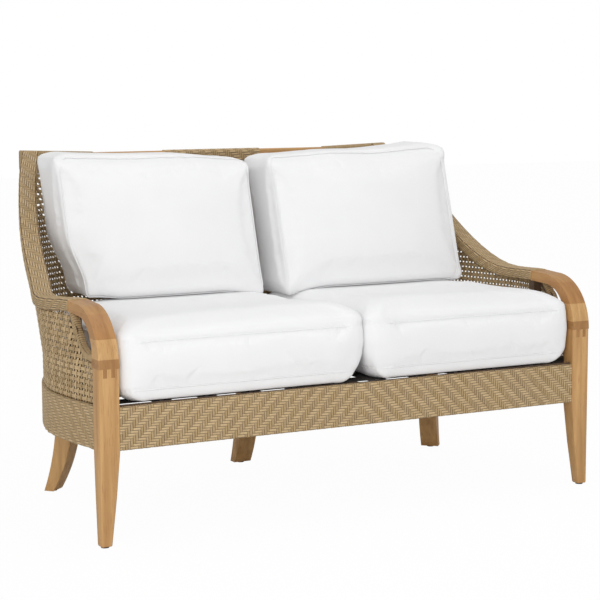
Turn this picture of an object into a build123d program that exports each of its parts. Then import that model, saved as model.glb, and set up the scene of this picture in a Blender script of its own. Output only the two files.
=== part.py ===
from build123d import *
import math
import os

os.makedirs("parts", exist_ok=True)

# Patio loveseat, two seats wide, in millimetres.
# X runs across the seat, Y from front to back, Z up.
# The origin is on the floor, at the middle of the footprint.

# Overall sizes
overall_depth = 904.0
overall_height = 910.0
leg_span = 1420.0
belly = 24.5
arm_height = 573.0

# Front legs
leg_width = 52.0
leg_depth = 43.0
foot_width = 28.0
foot_depth = 27.6
leg_knee_height = 118.0
leg_knee_share = 0.57
glide_height = 3.0
glide_radius = 10.0
glide_pin_radius = 2.5
glide_pin_length = 12.0

# Arm bows
bow_reach = 200.0
bow_thickness = 27.0
bow_rise = 3.0
bow_outer_radius = 140.0
bow_inner_radius = 88.0
finger_length = 21.0
finger_count = 5

# Woven skins, and the clearances between pieces
joint_gap = 0.2
leg_skin_gap = 2.0
skin_gap = 0.8
skin_set_back = 2.0
band_thickness = 8.0
cane_thickness = 6.0
cane_set_back = 3.0
cane_top_inset = 8.0
wrap_thickness = 2.5

# Seat frame
rail_bottom = 231.0
band_height = 108.0
rail_lift = 3.0
rail_drop = 3.0
rail_thickness = 25.0
apron_step = 3.0
apron_rise = 0.8
apron_crown = 3.5
middle_rail_height = 60.0
block_size = 72.0
block_height = 64.0
post_size = 24.0
post_step = 3.5

# Plan of the woven body at the seat rails, from the rear face of the front leg to the middle of
# the back: share of the leg line, of the belly and of the run behind the leg
back_rake = 212.0
base_key_shares = (
    (1.000, 0.000, 0.000),
    (1.000, 0.570, 0.134),
    (1.000, 0.940, 0.265),
    (1.000, 1.000, 0.381),
    (1.000, 0.450, 0.488),
    (0.989, 0.000, 0.589),
    (0.943, 0.000, 0.712),
    (0.879, 0.000, 0.835),
    (0.784, 0.000, 0.9275),
    (0.657, 0.000, 0.977),
    (0.480, 0.000, 0.997),
    (0.254, 0.000, 1.000),
    (0.000, 0.000, 1.000),
)
crescent_end_share = 0.093
corner_share = 0.604
rear_leg_share = 0.502
side_stations = 16
corner_stations = 3
rear_stations = 8
search_steps = 24

# Swept rail from the arm to the corner of the back: share of the run, of the draw-in to the
# corner, of the belly and of the rise
wing_key_shares = (
    (0.000, 0.000, 0.000, 0.000),
    (0.110, 0.000, 0.620, -0.012),
    (0.210, 0.000, 1.000, -0.022),
    (0.292, 0.000, 0.800, -0.012),
    (0.379, 0.050, 0.400, 0.049),
    (0.466, 0.120, 0.220, 0.140),
    (0.554, 0.200, 0.150, 0.253),
    (0.641, 0.300, 0.130, 0.389),
    (0.729, 0.420, 0.080, 0.547),
    (0.816, 0.575, 0.040, 0.707),
    (0.904, 0.757, 0.000, 0.859),
    (1.000, 1.000, 0.000, 1.000),
)
wing_end_shares = (-0.36, 0.76, 0.54)
wing_corner_width = 46.0
wing_stations = 20

# Rolled front edge of each side panel, round the crescent opening behind the bow: share of the
# run behind the leg and of the height from the edge's foot to the end of the bow
crescent_foot_height = 449.0
crescent_key_shares = (
    (0.000, 0.000),
    (0.290, 0.040),
    (0.500, 0.200),
    (0.640, 0.440),
    (0.780, 0.720),
    (0.930, 1.000),
)
edge_size = 16.0
edge_stations = 10

# Back frame
corner_draw = 127.0
top_rail_height = 45.0
top_rail_thickness = 24.0
top_rail_dip = 7.5
corner_wrap_length = 210.0
middle_wrap_length = 306.0
back_knee_height = 360.0
side_knee_height = 430.0
back_cane_inset = 6.0
back_post_width = 40.0
back_post_thickness = 22.0

# Rear legs
rear_leg_width = 52.0
rear_leg_depth = 50.0
rear_foot_depth = 27.0
rear_foot_reach = 29.5

# Seat webbing
strap_width = 50.0
strap_thickness = 1.7
strap_clearance = 2.0
strap_landing = 18.0
cross_strap_count = 5
cross_strap_room = 377.0
long_strap_count = 10
long_strap_room = 340.0

# Fasteners
dowel_radius = 4.0
dowel_length = 36.0
dowel_spacing = 24.0
screw_radius = 2.5
screw_head_radius = 5.0
screw_head_height = 2.5
screw_length = 34.0
screw_seat = 20.0
tack_radius = 1.0
tack_head_radius = 5.0
tack_head_height = 0.8
tack_length = 12.0

# Cushions, in covers with a core
cover_thickness = 1.6
core_gap = 0.3
cushion_rest_gap = 0.3
side_pull = 6.0
boxing_puff = 3.0
crown_steps = 5
seat_bottom_crown = 31.0
seat_boxing = 116.0
seat_top_crown = 39.0
seat_top_reach = 85.0
seat_bottom_reach = 45.0
seat_cushion_gap = 6.0
seat_side_gap = 6.0
seat_rear_gap = 63.0
seat_set_back = 2.0
seat_corner_radius = 38.0
seat_rear_corner_radius = 200.0
back_cushion_gap = 23.0
back_cushion_boxing = 186.0
back_cushion_height = 372.0
back_cushion_lean = 16.5
back_cushion_room = 240.0
back_cushion_stagger = 34.0
back_cushion_radius = 26.0
back_seam_radius = 12.0
back_edge_reach = 34.0
back_edge_crown = 12.0
back_crown = 42.0
back_crown_power = 3
back_middle_levels = 6

# Places worked out from the sizes above
front_y = -overall_depth / 2
leg_rear_y = front_y + leg_depth
leg_out = leg_span / 2
leg_in = leg_out - leg_width
base_depth = overall_depth - back_rake
rail_low = rail_bottom + rail_lift
band_top = rail_bottom + band_height
apron_top = band_top + apron_rise
rail_top = band_top - rail_drop
cross_strap_top = rail_top + joint_gap + strap_thickness
long_strap_top = cross_strap_top + joint_gap + strap_thickness
deck_top = long_strap_top
bow_end_y = front_y + bow_reach
bow_under = arm_height - bow_thickness
bow_spring = arm_height - bow_rise - bow_outer_radius
finger_pitch = leg_width / finger_count
rear_y = overall_depth / 2 - wrap_thickness
top_rail_front = rear_y - top_rail_thickness
top_rail_top = overall_height - wrap_thickness
top_rail_flat = top_rail_top - top_rail_dip
top_rail_under = top_rail_flat - top_rail_height
corner_x = leg_out - corner_draw
back_cushion_width = corner_x - back_cushion_gap
corner_wrap_x = corner_x - corner_wrap_length
edge_x = leg_out - edge_size / 2 - wrap_thickness
edge_top = bow_under - bow_rise / 2 - joint_gap
rail_inset = band_thickness + joint_gap
leg_inset = band_thickness + leg_skin_gap
front_rail_y = front_y + apron_step + band_thickness + joint_gap
front_rail_rear = front_rail_y + rail_thickness
UP = Vector(0, 0, 1)
ACROSS = Vector(1, 0, 0)
FROM_BASE = (Align.CENTER, Align.CENTER, Align.MIN)
FROM_TOP = (Align.CENTER, Align.CENTER, Align.MAX)


def save(builder, label):
    """Label a finished piece and write its file."""
    builder.part.label = label
    export_step(builder.part, f"parts/{label}.step")


def save_pair(builder, stem):
    """Write the right-hand piece and its mirror image on the left."""
    save(builder, f"{stem}_right")
    with BuildPart() as twin:
        mirror(builder.part, about=Plane.YZ)
    save(twin, f"{stem}_left")


def upright_plane(point, outward):
    """Upright plane through a point in plan: local x is outward, local y is Z."""
    return Plane(origin=(point.X, point.Y, 0), x_dir=outward, z_dir=outward.cross(UP))


def polygon(plane, points):
    """Closed straight-sided profile on a plane."""
    with BuildSketch(plane) as profile:
        with BuildLine():
            Polyline(*points, close=True)
        make_face()
    return profile.sketch


def box_between(plane, low, high):
    """Rectangle on a plane between two local corners."""
    return polygon(plane, [low, (high[0], low[1]), high, (low[0], high[1])])


# Guide curves: plan of the body at the seat rails, outer top edge of the swept rail, rolled edge
with BuildLine():
    base_line = Spline(
        [
            (
                (leg_out - skin_set_back) * along + belly * bulge,
                leg_rear_y + joint_gap + (base_depth - leg_depth) * deep,
                0,
            )
            for along, bulge, deep in base_key_shares
        ],
        tangents=[(0, 1, 0), (-1, 0, 0)],
    )
with BuildLine():
    wing_line = Spline(
        [
            (
                leg_out - (leg_out - corner_x) * draw + (belly - wrap_thickness) * bulge,
                bow_end_y + joint_gap + (top_rail_front - bow_end_y - 2 * joint_gap) * run,
                arm_height + (top_rail_top - arm_height) * rise,
            )
            for run, draw, bulge, rise in wing_key_shares
        ],
        tangents=[(0, 1, 0), wing_end_shares],
    )
with BuildLine():
    edge_line = Spline(
        [
            (
                edge_x,
                leg_rear_y + joint_gap + (bow_reach - leg_depth) * run,
                crescent_foot_height + (edge_top - crescent_foot_height) * rise,
            )
            for run, rise in crescent_key_shares
        ],
        tangents=[(0, 1, 0), (0, 0, 1)],
    )


def share_where(line, reached):
    """Share of a line at which a condition on its points starts to hold."""
    low, high = 0.0, 1.0
    for _ in range(search_steps):
        middle = (low + high) / 2
        if reached(line @ middle):
            high = middle
        else:
            low = middle
    return high


def base_at(share):
    """Point of the body's plan and its outward direction, at a share of the half outline."""
    return base_line @ share, (base_line % share).cross(UP).normalized()


def side_x(y):
    """Distance from the middle to the body's plan, at a depth ahead of the rear corner."""
    return (base_line @ share_where(base_line, lambda point: point.Y >= y)).X


def rear_plan_y(x):
    """Depth of the body's plan at the back, at a distance from the middle."""
    return (base_line @ share_where(base_line, lambda point: point.X <= x)).Y


def flip(station):
    """Mirror a point and its outward direction to the left."""
    point, outward = station
    return Vector(-point.X, point.Y, point.Z), Vector(-outward.X, outward.Y, outward.Z)


def loft_wing(grow):
    """Swept rail as a loft through upright sections across the seat, grown all round."""
    sections = []
    for station in range(wing_stations + 1):
        share = station / wing_stations
        point = wing_line @ share
        slope = wing_line % share
        width = leg_width + (wing_corner_width - leg_width) * share
        height = bow_thickness / math.hypot(slope.X, slope.Y)
        plane = Plane(origin=(0, point.Y, 0), x_dir=ACROSS, z_dir=(0, -1, 0))
        low = (point.X - width - grow, point.Z - height - grow)
        sections.append(box_between(plane, low, (point.X + grow, point.Z + grow)))
    with BuildPart(mode=Mode.PRIVATE) as rail:
        loft(sections, ruled=True)
    return rail.part


def loft_edge(half):
    """Rolled edge as a loft through square sections along its curve."""
    sections = []
    for station in range(edge_stations + 1):
        share = station / edge_stations
        plane = Plane(origin=edge_line @ share, x_dir=ACROSS, z_dir=edge_line % share)
        sections.append(box_between(plane, (-half, -half), (half, half)))
    with BuildPart(mode=Mode.PRIVATE) as edge:
        loft(sections, ruled=True)
    return edge.part


def ring_sections(stations, outer, inner, low, high):
    """Upright rectangles along the body's plan, by distance inside it and by height."""
    return [
        box_between(upright_plane(point, outward), (-inner, low), (-outer, high))
        for point, outward in stations
    ]


# Front legs: upright outer faces, tapered inner and rear faces, fingers on top
foot_x = leg_out - foot_width / 2
foot_y = front_y + foot_depth / 2
rail_dowel_y = front_rail_y + rail_thickness / 2
rail_dowel_z = (rail_low + rail_top) / 2
rail_end = Plane(origin=(leg_in, rail_dowel_y, rail_dowel_z), x_dir=UP, z_dir=ACROSS)
dowel_bore = (dowel_radius + joint_gap, dowel_length + 2 * joint_gap)
glide_bore = (glide_pin_radius + joint_gap, glide_pin_length + joint_gap)
with BuildPart() as front_leg:
    knee_width = foot_width + (leg_width - foot_width) * leg_knee_share
    knee_depth = foot_depth + (leg_depth - foot_depth) * leg_knee_share
    leg_levels = (
        (glide_height, foot_width, foot_depth),
        (leg_knee_height, knee_width, knee_depth),
        (rail_bottom, leg_width, leg_depth),
    )
    loft(
        [
            box_between(
                Plane.XY.offset(level), (leg_out - width, front_y), (leg_out, front_y + depth)
            )
            for level, width, depth in leg_levels
        ],
        ruled=True,
    )
    shank = box_between(Plane.XY.offset(rail_bottom), (leg_in, front_y), (leg_out, leg_rear_y))
    extrude(shank, amount=bow_spring - finger_length - rail_bottom)
    for finger in range(0, finger_count, 2):
        finger_x = leg_in + finger_pitch * finger
        tip = box_between(
            Plane.XY.offset(bow_spring - finger_length),
            (finger_x, front_y),
            (finger_x + finger_pitch, leg_rear_y),
        )
        extrude(tip, amount=finger_length - joint_gap)
    with Locations(rail_end):
        with GridLocations(dowel_spacing, 0, 2, 1):
            Cylinder(*dowel_bore, mode=Mode.SUBTRACT)
    with Locations((foot_x, foot_y, glide_height)):
        Cylinder(*glide_bore, align=FROM_BASE, mode=Mode.SUBTRACT)
save_pair(front_leg, "front_leg")

# Arm bows: quarter round from the leg to a level arm, fingers down into the leg
bow_end = Plane(
    origin=(leg_out - leg_width / 2, bow_end_y, arm_height - bow_thickness / 2),
    x_dir=ACROSS,
    z_dir=(0, 1, 0),
)
with BuildPart() as arm_bow:
    with BuildSketch(Plane.YZ.offset(leg_in)):
        with BuildLine():
            under_y = leg_rear_y + bow_inner_radius
            under_z = bow_under - bow_rise
            outer_bend = CenterArc(
                (front_y + bow_outer_radius, bow_spring), bow_outer_radius, 180, -90
            )
            top_edge = Line(outer_bend @ 1, (bow_end_y, arm_height))
            end_edge = Line(top_edge @ 1, (bow_end_y, bow_under))
            under_edge = Line(end_edge @ 1, (under_y, under_z))
            inner_bend = CenterArc((under_y, under_z - bow_inner_radius), bow_inner_radius, 90, 90)
            inner_edge = Line(inner_bend @ 1, (leg_rear_y, bow_spring))
            Line(inner_edge @ 1, outer_bend @ 0)
        make_face()
    extrude(amount=leg_width)
    for finger in range(1, finger_count, 2):
        finger_x = leg_in + finger_pitch * finger + joint_gap / 2
        tip = box_between(
            Plane.XY.offset(bow_spring - finger_length + joint_gap),
            (finger_x, front_y),
            (finger_x + finger_pitch - joint_gap, leg_rear_y),
        )
        extrude(tip, amount=finger_length - joint_gap)
    with Locations(bow_end):
        with GridLocations(dowel_spacing, 0, 2, 1):
            Cylinder(*dowel_bore, mode=Mode.SUBTRACT)
save_pair(arm_bow, "arm_bow")

# Swept rails from the end of the bow to the corner of the back, each on an arm post that stands
# inside the side rail, and the woven wraps over them
wing_solid = loft_wing(0)
wing_hollow = loft_wing(joint_gap)
wing_skin = loft_wing(wrap_thickness)
with BuildPart() as wing_rail:
    add(wing_solid)
    with Locations(bow_end):
        with GridLocations(dowel_spacing, 0, 2, 1):
            Cylinder(*dowel_bore, mode=Mode.SUBTRACT)
save_pair(wing_rail, "wing_rail")

post_y = bow_end_y + post_step
post_x = side_x(post_y) - rail_inset - rail_thickness - 3 * joint_gap - post_size
post_top = (wing_line @ (1 / wing_stations)).Z - bow_thickness - joint_gap
with BuildPart() as arm_post:
    post_foot = box_between(
        Plane.XY.offset(rail_low), (post_x, post_y), (post_x + post_size, post_y + post_size)
    )
    extrude(post_foot, amount=post_top - rail_low)
save_pair(arm_post, "arm_post")

wrap_end_y = top_rail_front - wrap_thickness - joint_gap
with BuildPart() as wing_wrap:
    add(wing_skin)
    add(wing_hollow, mode=Mode.SUBTRACT)
    post_cut = box_between(
        Plane.XY.offset(post_top - bow_thickness),
        (post_x - joint_gap, post_y - joint_gap),
        (post_x + post_size + joint_gap, post_y + post_size + joint_gap),
    )
    extrude(post_cut, amount=bow_thickness + wrap_thickness, mode=Mode.SUBTRACT)
    split(bisect_by=Plane(origin=(0, wrap_end_y, 0), z_dir=(0, -1, 0)), keep=Keep.TOP)
save_pair(wing_wrap, "wing_wrap")

# Rolled edges round the crescent openings: a square core in a woven sleeve
edge_solid = loft_edge(edge_size / 2)
edge_hollow = loft_edge(edge_size / 2 + joint_gap)
edge_skin = loft_edge(edge_size / 2 + wrap_thickness)
with BuildPart() as side_edge_core:
    add(edge_solid)
save_pair(side_edge_core, "side_edge_core")
with BuildPart() as side_edge_wrap:
    add(edge_skin)
    add(edge_hollow, mode=Mode.SUBTRACT)
save_pair(side_edge_wrap, "side_edge_wrap")

# Top rail of the back, a little higher at its corners
with BuildPart() as back_top_rail:
    rail_face = polygon(
        Plane.XZ.offset(-rear_y),
        [
            (-corner_x, top_rail_under),
            (corner_x, top_rail_under),
            (corner_x, top_rail_top),
            (corner_wrap_x, top_rail_flat),
            (-corner_wrap_x, top_rail_flat),
            (-corner_x, top_rail_top),
        ],
    )
    extrude(rail_face, amount=top_rail_thickness)
save(back_top_rail, "back_top_rail")

# Wraps on the top rail: a capped sleeve at each corner and an open one at the middle
with BuildPart() as corner_wrap:
    sleeve = polygon(
        Plane.XZ.offset(-rear_y - wrap_thickness),
        [
            (corner_wrap_x, top_rail_under - wrap_thickness),
            (corner_x + wrap_thickness, top_rail_under - wrap_thickness),
            (corner_x + wrap_thickness, top_rail_top + wrap_thickness),
            (corner_x, top_rail_top + wrap_thickness),
            (corner_wrap_x, top_rail_flat + wrap_thickness),
        ],
    )
    extrude(sleeve, amount=top_rail_thickness + 2 * wrap_thickness)
    rail_room = polygon(
        Plane.XZ.offset(-rear_y - joint_gap),
        [
            (corner_wrap_x, top_rail_under - joint_gap),
            (corner_x + joint_gap, top_rail_under - joint_gap),
            (corner_x + joint_gap, top_rail_top + joint_gap),
            (corner_x, top_rail_top + joint_gap),
            (corner_wrap_x, top_rail_flat + joint_gap),
        ],
    )
    extrude(rail_room, amount=top_rail_thickness + 2 * joint_gap, mode=Mode.SUBTRACT)
    add(wing_hollow, mode=Mode.SUBTRACT)
save_pair(corner_wrap, "top_wrap")

cane_top_y = rear_y - back_cane_inset
post_top_y = cane_top_y - cane_thickness - joint_gap
with BuildPart() as middle_wrap:
    sleeve_end = Plane.YZ.offset(-middle_wrap_length / 2)
    sleeve = box_between(
        sleeve_end,
        (top_rail_front - wrap_thickness, top_rail_under - wrap_thickness),
        (rear_y + wrap_thickness, top_rail_flat + wrap_thickness),
    )
    extrude(sleeve, amount=middle_wrap_length)
    rail_room = box_between(
        sleeve_end,
        (top_rail_front - joint_gap, top_rail_under - joint_gap),
        (rear_y + joint_gap, top_rail_flat + joint_gap),
    )
    extrude(rail_room, amount=middle_wrap_length, mode=Mode.SUBTRACT)
    post_cut = box_between(
        Plane.XY.offset(top_rail_under - 2 * wrap_thickness),
        (-back_post_width / 2 - joint_gap, top_rail_front - 2 * wrap_thickness),
        (back_post_width / 2 + joint_gap, post_top_y + joint_gap),
    )
    extrude(post_cut, amount=2 * wrap_thickness, mode=Mode.SUBTRACT)
save(middle_wrap, "top_wrap_middle")


def rear_leg_profile(point, outward):
    """Sabre profile in the upright plane that faces outward at a point of the body's plan."""
    with BuildSketch(upright_plane(point, outward)) as profile:
        with BuildLine():
            rear_edge = Line((-leg_inset, rail_top), (-leg_inset, rail_bottom))
            rear_sweep = TangentArc(rear_edge @ 1, (rear_foot_reach, glide_height), tangent=(0, -1))
            foot_edge = Line(rear_sweep @ 1, (rear_foot_reach - rear_foot_depth, glide_height))
            top_edge = Line(rear_edge @ 0, (-leg_inset - rear_leg_depth, rail_top))
            front_edge = Line(top_edge @ 1, (-leg_inset - rear_leg_depth, rail_bottom))
            TangentArc(front_edge @ 1, foot_edge @ 1, tangent=(0, -1))
        make_face()
    return profile.sketch


# Rear legs: sabre shaped, one at each rear corner and one at the middle of the back
foot_centre_reach = rear_foot_reach - rear_foot_depth / 2
corner_point, corner_outward = base_at(rear_leg_share)
corner_foot = corner_point + corner_outward * foot_centre_reach
centre_point, centre_outward = base_at(1)
centre_foot = centre_point + centre_outward * foot_centre_reach
with BuildPart() as rear_leg:
    extrude(
        rear_leg_profile(corner_point, corner_outward), amount=rear_leg_width / 2, both=True
    )
    with Locations((corner_foot.X, corner_foot.Y, glide_height)):
        Cylinder(*glide_bore, align=FROM_BASE, mode=Mode.SUBTRACT)
save_pair(rear_leg, "rear_leg")
with BuildPart() as rear_leg_middle:
    extrude(
        rear_leg_profile(centre_point, centre_outward), amount=rear_leg_width / 2, both=True
    )
    with Locations((centre_foot.X, centre_foot.Y, glide_height)):
        Cylinder(*glide_bore, align=FROM_BASE, mode=Mode.SUBTRACT)
save(rear_leg_middle, "rear_leg_middle")

# Glides under the five feet
with BuildPart() as leg_glides:
    feet = [
        (foot_x, foot_y, 0),
        (-foot_x, foot_y, 0),
        (corner_foot.X, corner_foot.Y, 0),
        (-corner_foot.X, corner_foot.Y, 0),
        (centre_foot.X, centre_foot.Y, 0),
    ]
    with Locations(*feet):
        Cylinder(glide_radius, glide_height, align=FROM_BASE)
        Cylinder(glide_pin_radius, glide_height + glide_pin_length, align=FROM_BASE)
save(leg_glides, "leg_glides")

# Stations along the body's plan, shared by the rails and the woven bands so that they nest
gap_share = joint_gap / base_line.length
leg_half_share = (rear_leg_width / 2 + joint_gap) / base_line.length
side_end_share = rear_leg_share - leg_half_share
rear_start_share = rear_leg_share + leg_half_share
rear_end_share = 1 - leg_half_share
before_leg = (base_line @ side_end_share, corner_outward)
after_leg = (base_line @ rear_start_share, corner_outward)
before_middle = (base_line @ rear_end_share, centre_outward)
side_ring = [base_at(side_end_share * step / side_stations) for step in range(side_stations)]
side_ring.append(before_leg)
corner_ring = [
    base_at(rear_start_share + (corner_share - rear_start_share) * step / corner_stations)
    for step in range(1, corner_stations + 1)
]
rear_ring = [
    base_at(corner_share + (rear_end_share - corner_share) * step / rear_stations)
    for step in range(1, rear_stations)
]
rear_ring.append(before_middle)

# Webbing places: the first cross strap is behind the front legs, the second ahead of the arm
# posts, and the others follow it
cross_strap_y = [
    leg_rear_y + strap_clearance + strap_width / 2,
    post_y - strap_clearance - strap_width / 2,
]
cross_strap_pitch = (base_depth - cross_strap_room) / (cross_strap_count - 2)
long_strap_pitch = (leg_span - long_strap_room) / (long_strap_count - 1)
for row in range(1, cross_strap_count - 1):
    cross_strap_y.append(cross_strap_y[1] + cross_strap_pitch * row)
long_strap_x = [
    long_strap_pitch * (column - (long_strap_count - 1) / 2) for column in range(long_strap_count)
]
strap_end_inset = rail_inset + rail_thickness - strap_landing
side_tacks = []
for y in cross_strap_y:
    strap_end = (side_x(y - strap_width / 2) + side_x(y + strap_width / 2)) / 2 - strap_end_inset
    side_tacks.append((strap_end - strap_landing / 2, y, cross_strap_top))
rear_tacks = []
for x in long_strap_x[long_strap_count // 2 :]:
    strap_end = (rear_plan_y(x - strap_width / 2) + rear_plan_y(x + strap_width / 2)) / 2
    rear_tacks.append((x, strap_end - strap_end_inset - strap_landing / 2, long_strap_top))
front_tacks = [(x, front_rail_rear - strap_landing / 2, long_strap_top) for x in long_strap_x]


def flip_places(places):
    """Mirror a list of places to the left."""
    return [(-x, y, z) for x, y, z in places]


def cut_tack_holes(places):
    """Holes for the webbing tacks, with a seat that leaves each head flush."""
    with Locations(*places):
        Cylinder(
            tack_radius + joint_gap, tack_length + joint_gap, align=FROM_TOP, mode=Mode.SUBTRACT
        )
        Cylinder(
            tack_head_radius + joint_gap, tack_head_height, align=FROM_TOP, mode=Mode.SUBTRACT
        )


# Seats of the corner block screws: one into the front rail, one into the side rail
block_rear_y = leg_rear_y + block_size
block_side_x = (base_line @ 0).X - rail_inset - rail_thickness - joint_gap
screw_x = leg_in - block_size / 2
screw_y = front_rail_rear + joint_gap + screw_seat
screw_z = rail_low + block_height / 2
screw_bore = screw_radius + joint_gap
front_screw = Plane(origin=(screw_x, screw_y, screw_z), z_dir=(0, 1, 0))
twin_screw = Plane(origin=(-screw_x, screw_y, screw_z), z_dir=(0, 1, 0))
side_screw = Plane(
    origin=(block_side_x - screw_seat, leg_rear_y + block_size / 2, screw_z), z_dir=(-1, 0, 0)
)

# Seat rails: front, sides, rear halves and the middle rail from front to back
with BuildPart() as front_seat_rail:
    rail_foot = box_between(
        Plane.XY.offset(rail_low),
        (joint_gap - leg_in, front_rail_y),
        (leg_in - joint_gap, front_rail_rear),
    )
    extrude(rail_foot, amount=rail_top - rail_low)
    rail_lip = box_between(
        Plane.XY.offset(rail_top),
        (joint_gap - leg_in, front_rail_y),
        (leg_in - joint_gap, front_rail_rear - strap_landing - joint_gap),
    )
    extrude(rail_lip, amount=deck_top - rail_top)
    for end in (-leg_in, leg_in):
        with Locations(Plane(origin=(end, rail_dowel_y, rail_dowel_z), x_dir=UP, z_dir=ACROSS)):
            with GridLocations(dowel_spacing, 0, 2, 1):
                Cylinder(*dowel_bore, mode=Mode.SUBTRACT)
    with Locations(front_screw, twin_screw):
        Hole(screw_bore, depth=screw_length + joint_gap)
    cut_tack_holes(front_tacks)
save(front_seat_rail, "front_seat_rail")

rail_reach = (rail_inset, rail_inset + rail_thickness, rail_low, rail_top)
with BuildPart() as side_seat_rail:
    loft(ring_sections(side_ring, *rail_reach), ruled=True)
    with Locations(side_screw):
        Hole(screw_bore, depth=screw_length + joint_gap)
    cut_tack_holes(side_tacks)
save_pair(side_seat_rail, "side_seat_rail")
with BuildPart() as rear_seat_rail:
    loft(ring_sections([after_leg] + corner_ring + rear_ring, *rail_reach), ruled=True)
    cut_tack_holes(rear_tacks)
save_pair(rear_seat_rail, "rear_seat_rail")

with BuildPart() as middle_seat_rail:
    rail_foot = box_between(
        Plane.XY.offset(rail_top - middle_rail_height),
        (-rail_thickness / 2, front_rail_rear + joint_gap),
        (rail_thickness / 2, centre_point.Y - leg_inset - rear_leg_depth - joint_gap),
    )
    extrude(rail_foot, amount=middle_rail_height)
save(middle_seat_rail, "middle_seat_rail")

# Corner blocks behind the front legs, and their screws
with BuildPart() as corner_block:
    block_plan = polygon(
        Plane.XY.offset(rail_low),
        [
            (leg_in - block_size, front_rail_rear + joint_gap),
            (leg_in - joint_gap, front_rail_rear + joint_gap),
            (leg_in - joint_gap, leg_rear_y + joint_gap),
            (block_side_x, leg_rear_y + joint_gap),
            (block_side_x, block_rear_y),
        ],
    )
    extrude(block_plan, amount=block_height)
    with Locations(front_screw, side_screw):
        Hole(screw_bore, depth=screw_length + joint_gap)
        Cylinder(
            screw_head_radius + joint_gap, block_size, align=FROM_BASE, mode=Mode.SUBTRACT
        )
save_pair(corner_block, "corner_block")
with BuildPart() as block_screws:
    with Locations(front_screw, side_screw):
        Cylinder(screw_head_radius, screw_head_height, align=FROM_BASE)
        Cylinder(screw_radius, screw_length, align=FROM_TOP)
    mirror(about=Plane.YZ)
save(block_screws, "block_screws")

# Dowels between the front rail and the legs, and between the bows and the swept rails
with BuildPart() as rail_dowels:
    with Locations(rail_end):
        with GridLocations(dowel_spacing, 0, 2, 1):
            Cylinder(dowel_radius, dowel_length)
    mirror(about=Plane.YZ)
save(rail_dowels, "rail_dowels")
with BuildPart() as bow_dowels:
    with Locations(bow_end):
        with GridLocations(dowel_spacing, 0, 2, 1):
            Cylinder(dowel_radius, dowel_length)
    mirror(about=Plane.YZ)
save(bow_dowels, "bow_dowels")

# Seat webbing: straps across, straps from front to back over them, and their tacks
with BuildPart() as cross_straps:
    for y in cross_strap_y:
        near_y, far_y = y - strap_width / 2, y + strap_width / 2
        near_x, far_x = side_x(near_y) - strap_end_inset, side_x(far_y) - strap_end_inset
        strap = polygon(
            Plane.XY.offset(rail_top + joint_gap),
            [(-near_x, near_y), (near_x, near_y), (far_x, far_y), (-far_x, far_y)],
        )
        extrude(strap, amount=strap_thickness)
    cut_tack_holes(side_tacks + flip_places(side_tacks))
save(cross_straps, "cross_straps")
with BuildPart() as long_straps:
    strap_start_y = front_rail_rear - strap_landing
    for x in long_strap_x:
        left, right = x - strap_width / 2, x + strap_width / 2
        strap = polygon(
            Plane.XY.offset(cross_strap_top + joint_gap),
            [
                (left, strap_start_y),
                (right, strap_start_y),
                (right, rear_plan_y(abs(right)) - strap_end_inset),
                (left, rear_plan_y(abs(left)) - strap_end_inset),
            ],
        )
        extrude(strap, amount=strap_thickness)
    cut_tack_holes(front_tacks + rear_tacks + flip_places(rear_tacks))
save(long_straps, "long_straps")
with BuildPart() as strap_tacks:
    with Locations(*side_tacks, *rear_tacks, *front_tacks[long_strap_count // 2 :]):
        Cylinder(tack_head_radius, tack_head_height, align=FROM_TOP)
        Cylinder(tack_radius, tack_length, align=FROM_TOP)
    mirror(about=Plane.YZ)
save(strap_tacks, "strap_tacks")

# Woven apron between the front legs, its top edge a shallow arc
with BuildPart() as apron_weave:
    with BuildSketch(Plane.XZ.offset(-front_y - apron_step - band_thickness)):
        with BuildLine():
            apron_end = leg_in - joint_gap
            left_edge = Line((-apron_end, apron_top - apron_crown), (-apron_end, rail_bottom))
            bottom_edge = Line(left_edge @ 1, (apron_end, rail_bottom))
            right_edge = Line(bottom_edge @ 1, (apron_end, apron_top - apron_crown))
            ThreePointArc(right_edge @ 1, (0, apron_top), left_edge @ 0)
        make_face()
    extrude(amount=band_thickness)
save(apron_weave, "apron_weave")

# Woven bands at the height of the apron: one round each side, one across the back
band_reach = (0, band_thickness, rail_bottom, band_top)
with BuildPart() as side_band:
    loft(ring_sections(side_ring + [after_leg] + corner_ring, *band_reach), ruled=True)
save_pair(side_band, "side_band")
right_half = [base_at(corner_share + gap_share)] + rear_ring
left_half = [flip(station) for station in reversed(right_half)]
with BuildPart() as back_band:
    loft(ring_sections(right_half + left_half, *band_reach), ruled=True)
save(back_band, "back_band")


def cane_section(station, top, above, knee_height):
    """Bent section of a woven panel, from the band to a point under what carries its top edge."""
    point, outward = station
    foot = Vector(point.X, point.Y, band_top + joint_gap)
    reach = top - foot
    lean = reach.dot(outward)
    rise = reach - outward * lean
    along = rise.normalized()
    knee = min((knee_height - foot.Z) / along.Z, rise.length / 2)
    drop = cane_thickness * outward.dot(above) / along.dot(above)
    outer, inner = -cane_set_back, -cane_set_back - cane_thickness
    return polygon(
        Plane(origin=foot, x_dir=outward, z_dir=outward.cross(along)),
        [
            (outer, 0),
            (outer, knee),
            (lean, rise.length),
            (lean - cane_thickness, rise.length + drop),
            (inner, knee),
            (inner, 0),
        ],
    )


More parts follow.
